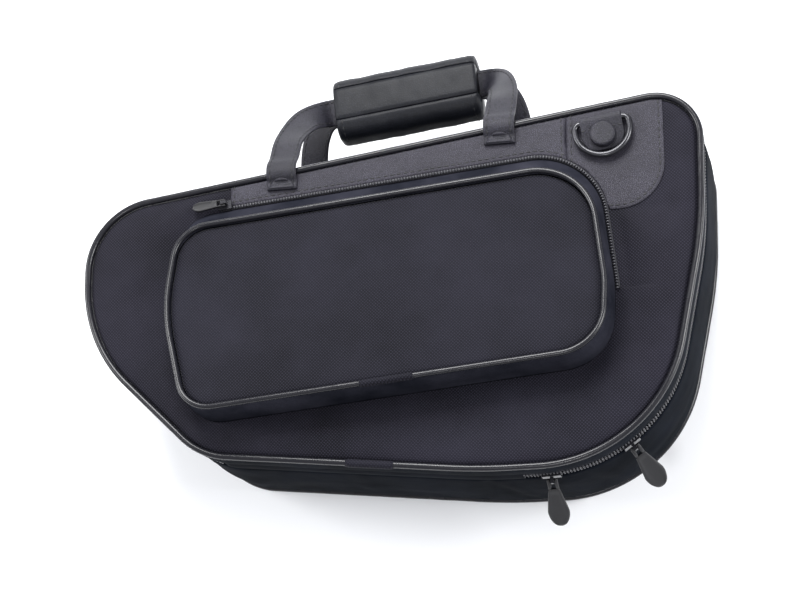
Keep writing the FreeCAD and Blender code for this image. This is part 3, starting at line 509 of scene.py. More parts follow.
def sown(name, path, unit, pitch, material, ups=None):
    """Copies of a small unit set at an even pitch along a path by Geometry Nodes, made one plain mesh."""
    mesh = bpy.data.meshes.new(name + "_path")
    edges = [(i, i + 1) for i in range(len(path) - 1)]
    if ups is None:
        ups = np.tile((0.0, 0.0, 1.0), (len(path), 1))
    mesh.from_pydata([tuple(p) for p in path], edges, [])
    mesh.attributes.new("up", "FLOAT_VECTOR", "POINT").data.foreach_set("vector", np.ravel(ups))
    carrier = bpy.data.objects.new(name + "_path", mesh)
    bpy.context.scene.collection.objects.link(carrier)
    tree = bpy.data.node_groups.new(name, "GeometryNodeTree")
    tree.interface.new_socket("Path", in_out="INPUT", socket_type="NodeSocketGeometry")
    pitch_socket = tree.interface.new_socket("Pitch", in_out="INPUT", socket_type="NodeSocketFloat")
    tree.interface.new_socket("Row", in_out="OUTPUT", socket_type="NodeSocketGeometry")
    into, out = add(tree, "NodeGroupInput"), add(tree, "NodeGroupOutput")
    curve = add(tree, "GeometryNodeMeshToCurve")
    spaced = add(tree, "GeometryNodeResampleCurve", mode="LENGTH")
    held = add(tree, "GeometryNodeObjectInfo", {"Object": unit})
    placed_units = add(tree, "GeometryNodeInstanceOnPoints")
    tangent = add(tree, "GeometryNodeInputTangent")
    up = add(tree, "GeometryNodeInputNamedAttribute", {"Name": "up"}, data_type="FLOAT_VECTOR")
    ahead = add(tree, "FunctionNodeAlignRotationToVector", axis="X")
    upright = add(tree, "FunctionNodeAlignRotationToVector", axis="Z", pivot_axis="X")
    real = add(tree, "GeometryNodeRealizeInstances")
    dressed = add(tree, "GeometryNodeSetMaterial", {"Material": material})
    join = tree.links.new
    join(into.outputs["Path"], curve.inputs["Mesh"])
    join(curve.outputs["Curve"], spaced.inputs["Curve"])
    join(into.outputs["Pitch"], spaced.inputs["Length"])
    join(spaced.outputs["Curve"], placed_units.inputs["Points"])
    join(held.outputs["Geometry"], placed_units.inputs["Instance"])
    join(tangent.outputs["Tangent"], ahead.inputs["Vector"])
    join(ahead.outputs["Rotation"], upright.inputs["Rotation"])
    join(up.outputs["Attribute"], upright.inputs["Vector"])
    join(upright.outputs["Rotation"], placed_units.inputs["Rotation"])
    join(placed_units.outputs["Instances"], real.inputs["Geometry"])
    join(real.outputs["Geometry"], dressed.inputs["Geometry"])
    join(dressed.outputs["Geometry"], out.inputs["Row"])
    modifier = carrier.modifiers.new("row", "NODES")
    modifier.node_group = tree
    modifier[pitch_socket.identifier] = pitch * MM
    bpy.context.view_layer.update()
    worked = carrier.evaluated_get(bpy.context.evaluated_depsgraph_get())
    result = bpy.data.meshes.new_from_object(worked)
    result.materials.clear()
    result.materials.append(material)
    result.polygons.foreach_set("use_smooth", [True] * len(result.polygons))
    made = bpy.data.objects.new(name, result)
    bpy.context.scene.collection.objects.link(made)
    bpy.data.objects.remove(carrier)
    return made


def pebble(name, length, width, height, power):
    """A small rounded block, from a box towards an egg as power falls."""
    points, faces = [], []
    rings, sides = 5, 8
    for i in range(rings + 1):
        lift = math.pi * (i / rings - 0.5)
        for k in range(sides):
            turn = 2 * math.pi * (k + 0.5) / sides
            raw = (math.cos(lift) * math.cos(turn), math.cos(lift) * math.sin(turn), math.sin(lift))
            shaped = [math.copysign(abs(v) ** power, v) for v in raw]
            reach = (shaped[2] * length, shaped[0] * width, shaped[1] * height)
            points.append([side / 2 * MM for side in reach])
    for i in range(rings):
        for k in range(sides):
            a, b = i * sides + k, i * sides + (k + 1) % sides
            faces.append((a, b, b + sides, a + sides))
    made = sewn(name, points, faces, coil_nylon)
    bpy.context.scene.collection.objects.unlink(made)
    return made


zip_tape = ribbed("zip_tape", (0.010, 0.010, 0.014), 0.8)
coil_nylon = finish("coil_nylon", (0.030, 0.030, 0.037), 0.28)
ZIP_LEFT, ZIP_RIGHT = -124, 74
left_out = (case_line[:, 1] < -70) & (case_line[:, 0] > ZIP_LEFT) & (case_line[:, 0] < ZIP_RIGHT)
zip_line, zip_out = open_run(case_line, case_out, left_out)
tooth = pebble("tooth", 1.3, 2.3, 3.1, 0.7)
TOOTH_PITCH, TOOTH_IN, TOOTH_LIFT = 2.1, 1.05, 0.35
TAPE_OUT, TAPE_IN = 1.35, 2.0
for half, body in (("back", "case"), ("front", "lid")):
    low, high = (edge.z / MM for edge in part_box("zip_tape_" + half))
    section = ((TAPE_OUT, low), (TAPE_OUT, high), (TAPE_IN, high), (TAPE_IN, low))
    rows = [placed(zip_line - zip_out * inset, z) for inset, z in section]
    tape = band("zip_tape_" + body, rows, zip_tape, closed_path=False)
    mount(tape, body, "zip_cloth", "zip_tape_" + half)
    low, high = (edge.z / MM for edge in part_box("zip_coil_" + half))
    middle = (low + high) / 2 + (-TOOTH_LIFT if body == "case" else TOOTH_LIFT)
    coil = sown("zip_coil_" + body, placed(zip_line - zip_out * TOOTH_IN, middle), tooth, TOOTH_PITCH, coil_nylon)
    mount(coil, body, "coil", "zip_coil_" + half)

# A cloth sleeve is sewn over the place where the piping's two ends meet, on the case's bottom side.
def sleeve_rows(start, end, out, radius, cover, lift):
    """Rows round a short tube of cloth; its underside is thin, where it lies against the bag."""
    steps = 14
    made = []
    for k in range(CORD_SIDES):
        turn = 2 * math.pi * k / CORD_SIDES
        proud = cover * (0.15 + 0.85 * max(0.0, math.cos(turn - math.radians(45))) ** 0.5)
        ring = []
        for s in range(steps + 1):
            share = s / steps
            spot = start + (end - start) * share
            swell = 1 if 0 < s < steps else 0.55
            reach = radius + proud * swell
            aside = out * math.cos(turn) * reach
            ring.append(spot + aside + Vector((0, 0, 1)) * (lift + math.sin(turn) * reach))
        made.append(np.array([tuple(p) for p in ring]) * MM)
    return made


pocket_nylon = woven("pocket_cloth", (0.003, 0.003, 0.0045), (0.016, 0.0155, 0.024), 8)
JOIN_MIDDLE, JOIN_LENGTH = -19, 31
bottom_way = (Vector(CASE_CORNERS[1][:2]) - Vector(CASE_CORNERS[0][:2])).normalized()
bottom_out = Vector((bottom_way.y, -bottom_way.x))
toe = Vector(CASE_CORNERS[0][:2])
join_spot = toe + bottom_way * ((JOIN_MIDDLE - toe.x) / bottom_way.x) - bottom_out * PIPING_INSET
join_spot += Vector(tuple(SHIFT))
half = bottom_way * (JOIN_LENGTH / 2)
SLEEVE_COVER = 0.9
ends = (join_spot - half).to_3d(), (join_spot + half).to_3d()
rows = sleeve_rows(*ends, bottom_out.to_3d(), 2.25, SLEEVE_COVER, PIPING_Z)
piping_sleeve = band("piping_sleeve", rows, pocket_nylon, closed_path=False)
mount(piping_sleeve, "lid", "piping", "piping_join")

# The pocket is a tray of the same cloth sewn on the lid. Its wall flares to the lid, its face tips back
# towards the zip, and a finer piping runs round the face.
POCKET_DEEP, POCKET_SHALLOW = 26, 13
pivot = np.array(POCKET_CORNERS[0][:2], float)
pocket_axis = np.array(POCKET_CORNERS[1][:2]) - pivot
pocket_axis = Vector((*(pocket_axis / np.linalg.norm(pocket_axis)), 0))
POCKET_TILT = math.asin((POCKET_DEEP - POCKET_SHALLOW) / (POCKET_CORNERS[4][1] - POCKET_CORNERS[0][1]))
tip = np.array(Matrix.Rotation(-POCKET_TILT, 3, pocket_axis))


def on_pocket(flat, drop):
    """Points of the pocket's face plan, below or above the face, put in the bag's frame."""
    local = np.column_stack([np.asarray(flat) - pivot, np.broadcast_to(drop, len(flat))]) @ tip.T
    local[:, :2] += pivot + SHIFT
    local[:, 2] += FACE + POCKET_DEEP
    return local * MM


POCKET_CLOTH = 1.2
WALL_DROP = 1.3
WALL_LEVELS = 11
base_line, base_out, _ = rounded(spread(POCKET_CORNERS, 4, POCKET_LIFT), pocket_counts)
low_row = placed(base_line, FACE + 0.3)
high_row = on_pocket(face_line, -WALL_DROP)
out_3d = np.column_stack([face_out, np.zeros(len(face_out))])
rows = []
for k in range(WALL_LEVELS + 1):
    share = k / WALL_LEVELS
    row = low_row + (high_row - low_row) * share
    bow = math.sin(math.pi * share) ** 0.8
    move = bow * (0.5 + 1.1 * wave(row / MM, 34, 12, (1, 1, 2)) + 0.5 * wave(row / MM, 15, 7))
    rows.append(row + out_3d * move[:, None] * MM)
inner_low = placed(base_line - base_out * POCKET_CLOTH, FACE + 0.3)
inner_high = on_pocket(face_line - face_out * POCKET_CLOTH, -WALL_DROP)
rows += [inner_high, inner_low]
pocket_wall_cloth = smooth_nylon("pocket_wall_cloth", (0.010, 0.011, 0.016), (0.034, 0.034, 0.046))
pocket_wall = band("pocket_wall", rows, pocket_wall_cloth)
mount(pocket_wall, "pocket", "pocket_twist", "pocket_gusset")

POCKET_RIDGE = ((-95, -12), (80, 5))
POCKET_PIPING = 1.85
PILLOW = 1.6
face_edge = face_line - face_out * (POCKET_PIPING + 0.25)


def pocket_swell(flat):
    """How far the pocket's face stands up inside its piping, with the slack of cloth that is not full."""
    edge = np.clip(-distance(flat, face_line, face_out) - 2, 0, None)
    slack = 0.9 * wave(flat, 75, 21, (0.7, 1.5, 1)) + 0.45 * wave(flat, 30, 33, (0.7, 1.4, 1))
    return (1 - np.exp(-edge / 12)) * (PILLOW + slack)


underside = face_rings(face_edge, face_out, POCKET_RIDGE, near=3, far=5)[::-1]
rows = [on_pocket(ring, -POCKET_CLOTH) for ring in underside]
for k, ring in enumerate(face_rings(face_edge, face_out, POCKET_RIDGE)):
    rows.append(on_pocket(ring, pocket_swell(ring) - 0.9 * math.exp(-k * 1.2)))
pocket_face = band("pocket_face", rows, pocket_nylon, closed_section=False)
mount(pocket_face, "pocket", "pocket_twist", "pocket_panel", fill=0.5)

rows = [on_pocket(flat, z) for flat, z in cord_rows(face_line, face_out, 0, 1.8, POCKET_PIPING, 5)]
pocket_cord = band("pocket_cord", rows, piping_vinyl)
mount(pocket_cord, "pocket", "piping", "pocket_piping")
POCKET_JOIN = (-18.5, 15.5)
pocket_side = np.array(POCKET_CORNERS[1][:2]) - pivot
join_ends = [pivot + pocket_side * ((x - pivot[0]) / pocket_side[0]) for x in POCKET_JOIN]
start, end = (Vector(spot) / MM for spot in on_pocket(join_ends, 1.8))
pocket_way = (end - start).normalized()
rows = sleeve_rows(start, end, pocket_way.cross(Vector((0, 0, 1))).normalized(), 1.95, SLEEVE_COVER, 0)
pocket_sleeve = band("pocket_sleeve", rows, pocket_nylon, closed_path=False)
mount(pocket_sleeve, "pocket", "pocket_twist", "pocket_piping_join")

# The pocket's zip is a finer coil. Its tape is sewn flat on the lid, along the pocket's top and round its
# upper right corner.
COIL_REACH = 4.3
zip_path, zip_way, _ = rounded(spread(POCKET_CORNERS, COIL_REACH, POCKET_LIFT), pocket_counts)
without_zip = (zip_path[:, 0] < -122) | (zip_path[:, 1] < -5)
zip_path, zip_way = open_run(zip_path, zip_way, without_zip)
POCKET_TAPE = 0.7
section = ((0, FACE), (2.7, FACE), (2.7, FACE + 0.55), (2.5, FACE + POCKET_TAPE), (0, FACE + POCKET_TAPE))
rows = [placed(zip_path + zip_way * grow, z) for grow, z in section]
pocket_tape = band("pocket_tape", rows, zip_tape, closed_path=False)
mount(pocket_tape, "lid", "zip_cloth", "pocket_zip_tape")
small_tooth = pebble("small_tooth", 1.15, 2.3, 1.9, 0.7)
SMALL_PITCH = 1.9
path = placed(zip_path + zip_way * 1.15, FACE + 0.7 + 0.9)
pocket_coil = sown("pocket_coil", path, small_tooth, SMALL_PITCH, coil_nylon)
mount(pocket_coil, "lid", "coil", "pocket_zip_coil")


# Leatherette is sewn on the lid: a yoke under the handle and, past a double seam, the patch that carries
# the ring. Both end in the piping's seam at the top.
def leatherette(name, dark, light, rough, grain, relief):
    """Coated cloth pressed with a leather grain, rubbed paler on its high places."""
    made = finish(name, dark, rough)
    tree = made.node_tree
    surface = tree.nodes["Principled BSDF"]
    pores = add(tree, "ShaderNodeTexVoronoi", {"Scale": 1000 / grain}, feature="DISTANCE_TO_EDGE")
    warp = pattern(tree, "ShaderNodeTexNoise", {"Scale": 250 / grain, "Detail": 3.0})
    rub = pattern(tree, "ShaderNodeTexNoise", {"Scale": 28, "Detail": 5.0, "Roughness": 0.65})
    bend = add(tree, "ShaderNodeVectorMath", {1: (0.0006, 0.0006, 0.0006)}, operation="MULTIPLY")
    moved = add(tree, "ShaderNodeVectorMath", operation="ADD")
    tree.links.new(warp.outputs["Color"], bend.inputs[0])
    tree.links.new(tree.nodes["Texture Coordinate"].outputs["Object"], moved.inputs[0])
    tree.links.new(bend.outputs["Vector"], moved.inputs[1])
    tree.links.new(moved.outputs["Vector"], pores.inputs["Vector"])
    crest = add(tree, "ShaderNodeMapRange", {"From Max": 0.25})
    tree.links.new(pores.outputs["Distance"], crest.inputs["Value"])
    both = add(tree, "ShaderNodeMath", {2: -0.15}, operation="MULTIPLY_ADD")
    tree.links.new(crest.outputs["Result"], both.inputs[0])
    tree.links.new(rub.outputs["Fac"], both.inputs[1])
    shade(tree, both.outputs[0], 0.0, 0.55, dark, light)
    emboss(tree, crest.outputs["Result"], relief, 0.0003)
    surface.inputs["Specular IOR Level"].default_value = 0.22
    return made


yoke_leather = leatherette("yoke_leatherette", (0.014, 0.013, 0.019), (0.045, 0.043, 0.060), 0.5, 1.1, 0.35)
LEATHER = 0.8
TAPE_REACH = 7.15
tape_edge = rounded(spread(POCKET_CORNERS, TAPE_REACH, POCKET_LIFT), pocket_counts)[0]
seam_edge = case_line - case_out * 3.35


def highest_at(line, x):
    """Where an outline's upper side passes a place along the bag, or None beside it."""
    after = np.roll(line, -1, axis=0)
    hits = (line[:, 0] - x) * (after[:, 0] - x) <= 0
    if not hits.any():
        return None
    a, b = line[hits], after[hits]
    share = (x - a[:, 0]) / np.where(np.abs(b[:, 0] - a[:, 0]) < 1e-9, 1, b[:, 0] - a[:, 0])
    return float((a[:, 1] + share * (b[:, 1] - a[:, 1])).max())


def patch_low(x):
    """The lower edge of the ring's patch, rounded at its outer corner."""
    radius = 30
    middle = PATCH_RIGHT - radius
    if x <= middle:
        return PATCH_BOTTOM
    return PATCH_BOTTOM + radius - math.sqrt(max(radius ** 2 - (x - middle) ** 2, 0))


def leather_sheet(name, places, low_at, stations=18):
    """A flat sheet with turned edges, laid out in columns between a lower and an upper line."""
    tops, unders = [], []
    for i, x in enumerate(places):
        tape = highest_at(tape_edge, x)
        low = max(v for v in (tape, low_at(x)) if v is not None)
        high = max(highest_at(seam_edge, x), low + 0.2)
        ends = min(i, len(places) - 1 - i)
        for k in range(stations + 1):
            share = 0.5 - 0.5 * math.cos(math.pi * k / stations)
            y = low + (high - low) * share
            edge = min(y - low, high - y, abs(x - places[0]), abs(places[-1] - x))
            lift = LEATHER * (1 - 0.45 * math.exp(-edge / 0.5)) - 0.12 * math.exp(-((edge - 2.6) / 0.7) ** 2)
            tops.append((x, y, FACE + lift))
            unders.append((x, y, FACE + 0.02))
    count, across = len(places), stations + 1
    tops, unders = np.array(tops), np.array(unders)
    points = np.concatenate([placed(tops[:, :2], tops[:, 2]), placed(unders[:, :2], unders[:, 2])])
    base = len(tops)
    faces = []
    for i in range(count - 1):
        for k in range(across - 1):
            a = i * across + k
            faces.append((a, a + across, a + across + 1, a + 1))
            faces.append((base + a, base + a + 1, base + a + across + 1, base + a + across))
    rim = [i * across for i in range(count)] + [(count - 1) * across + k for k in range(1, across)]
    rim += [i * across + across - 1 for i in range(count - 2, -1, -1)] + [k for k in range(across - 2, 0, -1)]
    for a, b in zip(rim, rim[1:] + rim[:1]):
        faces.append((a, b, base + b, base + a))
    return sewn(name, points, faces, yoke_leather)


YOKE_RIGHT = 110
yoke_places = np.linspace(YOKE_LEFT, YOKE_RIGHT, 110)
yoke = leather_sheet("yoke_sheet", yoke_places, lambda x: -1e3)
edge_places = PATCH_RIGHT - 4 * np.linspace(1, 0, 12)[1:] ** 1.8
patch_places = np.concatenate([np.linspace(YOKE_RIGHT + 0.15, PATCH_RIGHT - 4, 40), edge_places])
patch = leather_sheet("ring_patch_sheet", patch_places, patch_low)
for sheet, node in ((yoke, "yoke"), (patch, "ring_patch")):
    mount(sheet, "lid", "leatherette", node)
thread = finish("thread", (0.004, 0.004, 0.006), 0.6)
stitch = pebble("stitch", 3.1, 0.85, 0.6, 0.8)
STITCH_PITCH = 4.5


def seam(name, flat, z, body, ups=None):
    """A line of stitches along plan points at a height, or along ready points with their own up."""
    path = placed(flat, z) if ups is None else np.asarray(flat)
    made = sown(name, path, stitch, STITCH_PITCH, thread, ups)
    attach(made, body)


STITCH_IN = 2.6
on_leather = FACE + LEATHER - 0.02
BESIDE_GAP = 3.2
side_seams = (
    ("yoke_left_seam", YOKE_LEFT + STITCH_IN),
    ("yoke_right_seam", YOKE_RIGHT - BESIDE_GAP),
    ("patch_left_seam", YOKE_RIGHT + BESIDE_GAP),
)
for name, x in side_seams:
    low, high = highest_at(tape_edge, x) + 1.5, highest_at(seam_edge, x) - 1
    seam(name, np.column_stack([np.full(12, x), np.linspace(low, high, 12)]), on_leather, "lid")
places = np.linspace(YOKE_LEFT + STITCH_IN, YOKE_RIGHT - STITCH_IN, 60)
seam("yoke_low_seam", [(x, highest_at(tape_edge, x) + STITCH_IN) for x in places], on_leather, "lid")
inner = PATCH_RIGHT - STITCH_IN
turn = np.linspace(-math.pi / 2, 0, 24)
BEND = 27.4
low_seam = PATCH_BOTTOM + STITCH_IN
corner = np.column_stack([inner - BEND + BEND * np.cos(turn), low_seam + BEND + BEND * np.sin(turn)])
over_zip = [x for x in np.linspace(YOKE_RIGHT, inner, 200) if (highest_at(tape_edge, x) or -1e3) > PATCH_BOTTOM]
run = [(max(over_zip) + 1.5, low_seam)] + [tuple(p) for p in corner]
run.append((inner, highest_at(seam_edge, inner) - 1.5))
seam("patch_edge_seam", run, on_leather, "lid")

# The handle is two straps of folded leatherette with stitched edges, each in one length: the front one is
# sewn on the yoke and the back one on the case's far side, and both twist into the hand wrap.
STRAP_WIDTH, STRAP_THICK = 20.5, 2.4
HANDLE_X, HANDLE_HALF, HANDLE_RISE, HANDLE_SLOPE = -6, 73, 58, 0.11
STRAP_END = 12.5
TOP_SLOPE = (CASE_CORNERS[4][1] - CASE_CORNERS[5][1]) / (CASE_CORNERS[4][0] - CASE_CORNERS[5][0])
GRIP_Z = (FACE + BACK) / 2
SEAT_Z = FACE + LEATHER + 0.3 + STRAP_THICK / 2
OVER_Z = PIPING_Z + 2.2 + 0.3 + STRAP_THICK / 2
APART = STRAP_THICK / 2 + 0.15
# Half a strap from its base to the grip: along, up and out as shares, then the turn of its width in degrees.
FRONT_COURSE = (
    (1.0, 0.15, 0.93, 0), (1.0, 0.36, 0.80, 2), (0.985, 0.58, 0.60, 14), (0.93, 0.79, 0.38, 38),
    (0.84, 0.93, 0.15, 63), (0.74, 0.99, 0.015, 84), (0.60, 1.0, 0.0, 90), (0.20, 1.0, 0.0, 90),
)
BACK_COURSE = (
    (1.0, 0.10, 0.60, 0), (1.0, 0.30, 0.42, 2), (0.985, 0.55, 0.26, 14), (0.93, 0.79, 0.14, 38),
    (0.84, 0.93, 0.06, 63), (0.74, 0.99, 0.01, 84), (0.60, 1.0, 0.0, 90), (0.20, 1.0, 0.0, 90),
)
FRONT_BASE = ((-STRAP_END, SEAT_Z), (-STRAP_END / 2, SEAT_Z), (-4.4, OVER_Z), (4.4, OVER_Z))
BACK_BASE = ((2.6, BACK + STRAP_END / 2), (2.6, BACK + STRAP_END))


def handle_point(along, up, z):
    """A place near the handle, measured from the case's straight top edge."""
    x = HANDLE_X + along
    top = CASE_CORNERS[5][1] + TOP_SLOPE * (x - CASE_CORNERS[5][0])
    lean = along * (HANDLE_SLOPE - TOP_SLOPE) * min(max(up, 0) / HANDLE_RISE, 1)
    return (x + SHIFT[0], top + up + lean + SHIFT[1], z)


def eased(knots, steps):
    """A smooth run through knots: a natural cubic over the length between them."""
    knots = np.asarray(knots, float)
    run = np.concatenate([[0], np.cumsum(np.linalg.norm(np.diff(knots[:, :3], axis=0), axis=1))])
    gap = np.diff(run)
    count = len(knots)
    system = np.eye(count)
    bends = np.zeros_like(knots)
    for i in range(1, count - 1):
        system[i, i - 1 : i + 2] = gap[i - 1], 2 * (gap[i - 1] + gap[i]), gap[i]
        bends[i] = 6 * ((knots[i + 1] - knots[i]) / gap[i] - (knots[i] - knots[i - 1]) / gap[i - 1])
    curve = np.linalg.solve(system, bends)
    made = []
    for s in np.linspace(0, run[-1], steps):
        i = min(int(np.searchsorted(run, s, side="right")) - 1, count - 2)
        a, b = run[i + 1] - s, s - run[i]
        made.append(
            (curve[i] * a ** 3 + curve[i + 1] * b ** 3) / (6 * gap[i])
            + (knots[i] / gap[i] - curve[i] * gap[i] / 6) * a
            + (knots[i + 1] / gap[i] - curve[i + 1] * gap[i] / 6) * b
        )
    return np.array(made)


def strap_course(base, course, side, base_turn, steps=170):
    """Middle line of a strap, and the directions of its width and thickness all along it."""
    reach = OVER_Z - GRIP_Z - APART
    runs = []
    for mirror in (-1, 1):
        run = [(*handle_point(mirror * HANDLE_HALF, up, z), mirror, mirror * base_turn) for up, z in base]
        for along, up, out, turn in course:
            z = GRIP_Z + side * (APART + out * reach)
            run.append((*handle_point(mirror * HANDLE_HALF * along, HANDLE_RISE * up, z), mirror, turn))
        runs.append(run)
    knots = []
    for x, y, z, mirror, turn in runs[0] + runs[1][::-1]:
        angle = math.radians(turn if mirror > 0 else 180 - turn)
        knots.append((x, y, z, angle))
    smooth = eased(knots, steps)
    middle = smooth[:, :3]
    width = np.column_stack([np.cos(smooth[:, 3]), np.sin(smooth[:, 3]), np.zeros(steps)])
    travel = np.gradient(middle, axis=0)
    thick = np.cross(travel, width)
    thick /= np.linalg.norm(thick, axis=1)[:, None]
    return middle, width, thick


STRAP_SECTION = (
    (-1, 0), (-0.985, 0.45), (-0.93, 0.82), (-0.82, 0.96), (-0.72, 0.9), (-0.6, 1), (0, 1), (0.6, 1),
    (0.72, 0.9), (0.82, 0.96), (0.93, 0.82), (0.985, 0.45), (1, 0),
)
strap_leather = leatherette("strap_leatherette", (0.011, 0.011, 0.015), (0.041, 0.039, 0.054), 0.48, 1.1, 0.35)


def strap_rows(course):
    """Rows along a strap, one for each corner of its section, with turned and stitched edges."""
    middle, width, thick = course
    section = list(STRAP_SECTION) + [(u, -v) for u, v in STRAP_SECTION[-2:0:-1]]
    slack = 0.25 * wave(middle, 26, 14)
    made = []
    for u, v in section:
        rise = (v * STRAP_THICK / 2 + slack * (1 - abs(u)))[:, None]
        made.append((middle + width * (u * STRAP_WIDTH / 2) + thick * rise) * MM)
    return made


front_course = strap_course(FRONT_BASE, FRONT_COURSE, 1, 0)
back_course = strap_course(BACK_BASE, BACK_COURSE, -1, math.degrees(math.atan(TOP_SLOPE)))
STRAP_SEAM = 7.6
for node, body, course in (("front_strap", "lid", front_course), ("back_strap", "case", back_course)):
    made = band(node.replace("_", "_handle_"), strap_rows(course), strap_leather, closed_path=False)
    mount(made, body, "leatherette", node)
    middle, width, thick = course
    for side, way in (("left", -1), ("right", 1)):
        for face_name, up in (("outer", 1), ("inner", -1)):
            path = (middle + width * (way * STRAP_SEAM) + thick * (up * (STRAP_THICK / 2 + 0.02))) * MM
            seam(f"{node}_{side}_{face_name}_seam", path[2:-2], 0, body, ups=thick[2:-2] * up)

# Half-round patches of the same leatherette are sewn over the front strap's ends, round side up.
BADGE_HALF, BADGE_THICK = 8.5, 0.9
middle, width, thick = front_course
outward = thick if thick[0][2] > 0 else -thick
run = np.concatenate([[0], np.cumsum(np.linalg.norm(np.diff(middle, axis=0), axis=1))])
points, faces = [], []
for flip in (1, -1):
    spots, across, up = middle[::flip], width[::flip], outward[::flip]
    base = len(points)
    levels, sides = 14, 12
    for layer in (1, 0):
        for k in range(levels + 1):
            s = 0.3 + BADGE_HALF * math.sin(math.pi / 2 * k / levels) * 0.998
            i = min(int(np.searchsorted(run, s)), len(run) - 2)
            spot = spots[i] + (spots[i + 1] - spots[i]) * ((s - run[i]) / (run[i + 1] - run[i]))
            half = math.sqrt(max(BADGE_HALF ** 2 - (s - 0.3) ** 2, 0.02))
            for c in range(sides + 1):
                u = -1 + 2 * c / sides
                edge = min(half * (1 - abs(u)), s, BADGE_HALF + 0.3 - s)
                height = STRAP_THICK / 2 + 0.12 + layer * BADGE_THICK * (1 - 0.5 * math.exp(-edge / 0.5))
                points.append((spot + across[i] * u * half + up[i] * height) * MM)
    row, sheet = sides + 1, (levels + 1) * (sides + 1)
    for k in range(levels):
        for c in range(sides):
            a = base + k * row + c
            b = sheet + a
            faces += [(a, a + 1, a + row + 1, a + row), (b, b + row, b + row + 1, b + 1)]
    rim = [base + c for c in range(row)] + [base + k * row + sides for k in range(1, levels + 1)]
    rim += [base + levels * row + c for c in range(sides - 1, -1, -1)]
    rim += [base + k * row for k in range(levels - 1, 0, -1)]
    faces += [(a, b, sheet + b, sheet + a) for a, b in zip(rim, rim[1:] + rim[:1])]
badges = sewn("strap_end_badges", points, faces, strap_leather)
mount(badges, "lid", "leatherette", "strap_badges")

# The hand wrap is a padded leather roll. Its body is fixed on the back strap and has a groove for the
# front one, and its front flap closes over the groove.
WRAP_LONG, WRAP_HIGH, WRAP_DEEP, WRAP_ROUND, WRAP_DROP = 100, 45, 30, 12, 1.5
GROOVE_HALF, GROOVE_FLOOR, FLAP_HALF, FLAP_FLOOR = 11.75, -3.0, 11.5, 3.0
wrap_leather = leatherette("wrap_leather", (0.003, 0.0035, 0.0055), (0.009, 0.010, 0.015), 0.5, 1.4, 0.12)


def wrap_outline():
    """The roll's section from the groove's upper lip round the back to its lower lip."""
    made = []
    v_mid, w_mid = WRAP_HIGH / 2 - WRAP_ROUND, WRAP_DEEP / 2 - WRAP_ROUND
    for cv, cw, first in ((v_mid, w_mid, 90), (v_mid, -w_mid, 0), (-v_mid, -w_mid, -90), (-v_mid, w_mid, -180)):
        for k in range(10):
            turn = math.radians(first - 90 * k / 9)
            made.append((cv + WRAP_ROUND * math.cos(turn), cw + WRAP_ROUND * math.sin(turn)))
    made = [(v - WRAP_DROP, w) for v, w in made]
    return [(v, w) for v, w in made if w < 0 or abs(v) > GROOVE_HALF + 0.6]


grip_turn = math.atan(HANDLE_SLOPE)
grip_way = np.array((math.cos(grip_turn), math.sin(grip_turn), 0))
grip_up = np.array((-math.sin(grip_turn), math.cos(grip_turn), 0))
grip_out = np.array((0, 0, 1.0))
grip_middle = np.array(handle_point(0, HANDLE_RISE, GRIP_Z))


def wrap_rows(section, loose, seed, steps=60):
    """Rows along the roll for each corner of its section, drawn in at its ends, with soft creases."""
    runs = np.linspace(-1, 1, steps) * WRAP_LONG / 2
    ends = WRAP_LONG / 2 - np.abs(runs)
    draw = 1 - 0.05 * np.exp(-ends / 1.2) - 0.01 * np.exp(-ends / 12)
    made = []
    for v, w, free in section:
        spots = grip_middle + runs[:, None] * grip_way
        spots = spots + (v * draw)[:, None] * grip_up + (w * draw)[:, None] * grip_out
        way = (grip_up * v / WRAP_HIGH + grip_out * w / WRAP_DEEP)
        way = way / max(np.linalg.norm(way), 1e-9)
        pull = loose * (0.8 * wave(spots, 21, seed, (1.5, 1, 1)) + 0.35 * wave(spots, 8, seed + 3, (1.6, 1, 1)))
        made.append((spots + way * (free * pull)[:, None]) * MM)
    return made


back_part = [(v, w, 1) for v, w in wrap_outline()]
lip = WRAP_DEEP / 2
groove_side = [(GROOVE_HALF + 0.5, lip - 0.05, 1), (GROOVE_HALF, lip - 0.7, 0), (GROOVE_HALF, GROOVE_FLOOR, 0)]
groove = [(-v, w, free) for v, w, free in groove_side] + groove_side[::-1]
wrap_body = band("wrap_body", wrap_rows(back_part + groove, 0.7, 17), wrap_leather, closed_path=False)
mount(wrap_body, "case", "grip_leather", "grip_wrap", fill=0.8)
flap_section = [(-FLAP_HALF, FLAP_FLOOR, 0), (-FLAP_HALF, lip - 0.7, 0)]
for v in np.linspace(-FLAP_HALF + 0.4, FLAP_HALF - 0.4, 9):
    flap_section.append((v, lip + 0.35 - 0.4 * (abs(v) / FLAP_HALF) ** 6, 1))
flap_section += [(FLAP_HALF, lip - 0.7, 0), (FLAP_HALF, FLAP_FLOOR, 0)]
wrap_flap = band("wrap_flap", wrap_rows(flap_section, 0.5, 17), wrap_leather, closed_path=False)
mount(wrap_flap, "case", "grip_leather", "grip_flap")
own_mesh(wrap_flap)
WRAP_SEAM_IN = 4.5
for side in (-1, 1):
    spot = grip_middle + grip_way * side * (WRAP_LONG / 2 - WRAP_SEAM_IN)
    inset = 0.99
    path = [(spot + (grip_up * v + grip_out * w) * inset) * MM for v, w, free in back_part]
    ups = [grip_up * v + grip_out * w for v, w, free in back_part]
    seam(f"wrap_seam_{'left' if side < 0 else 'right'}", path, 0, "case", ups=ups)

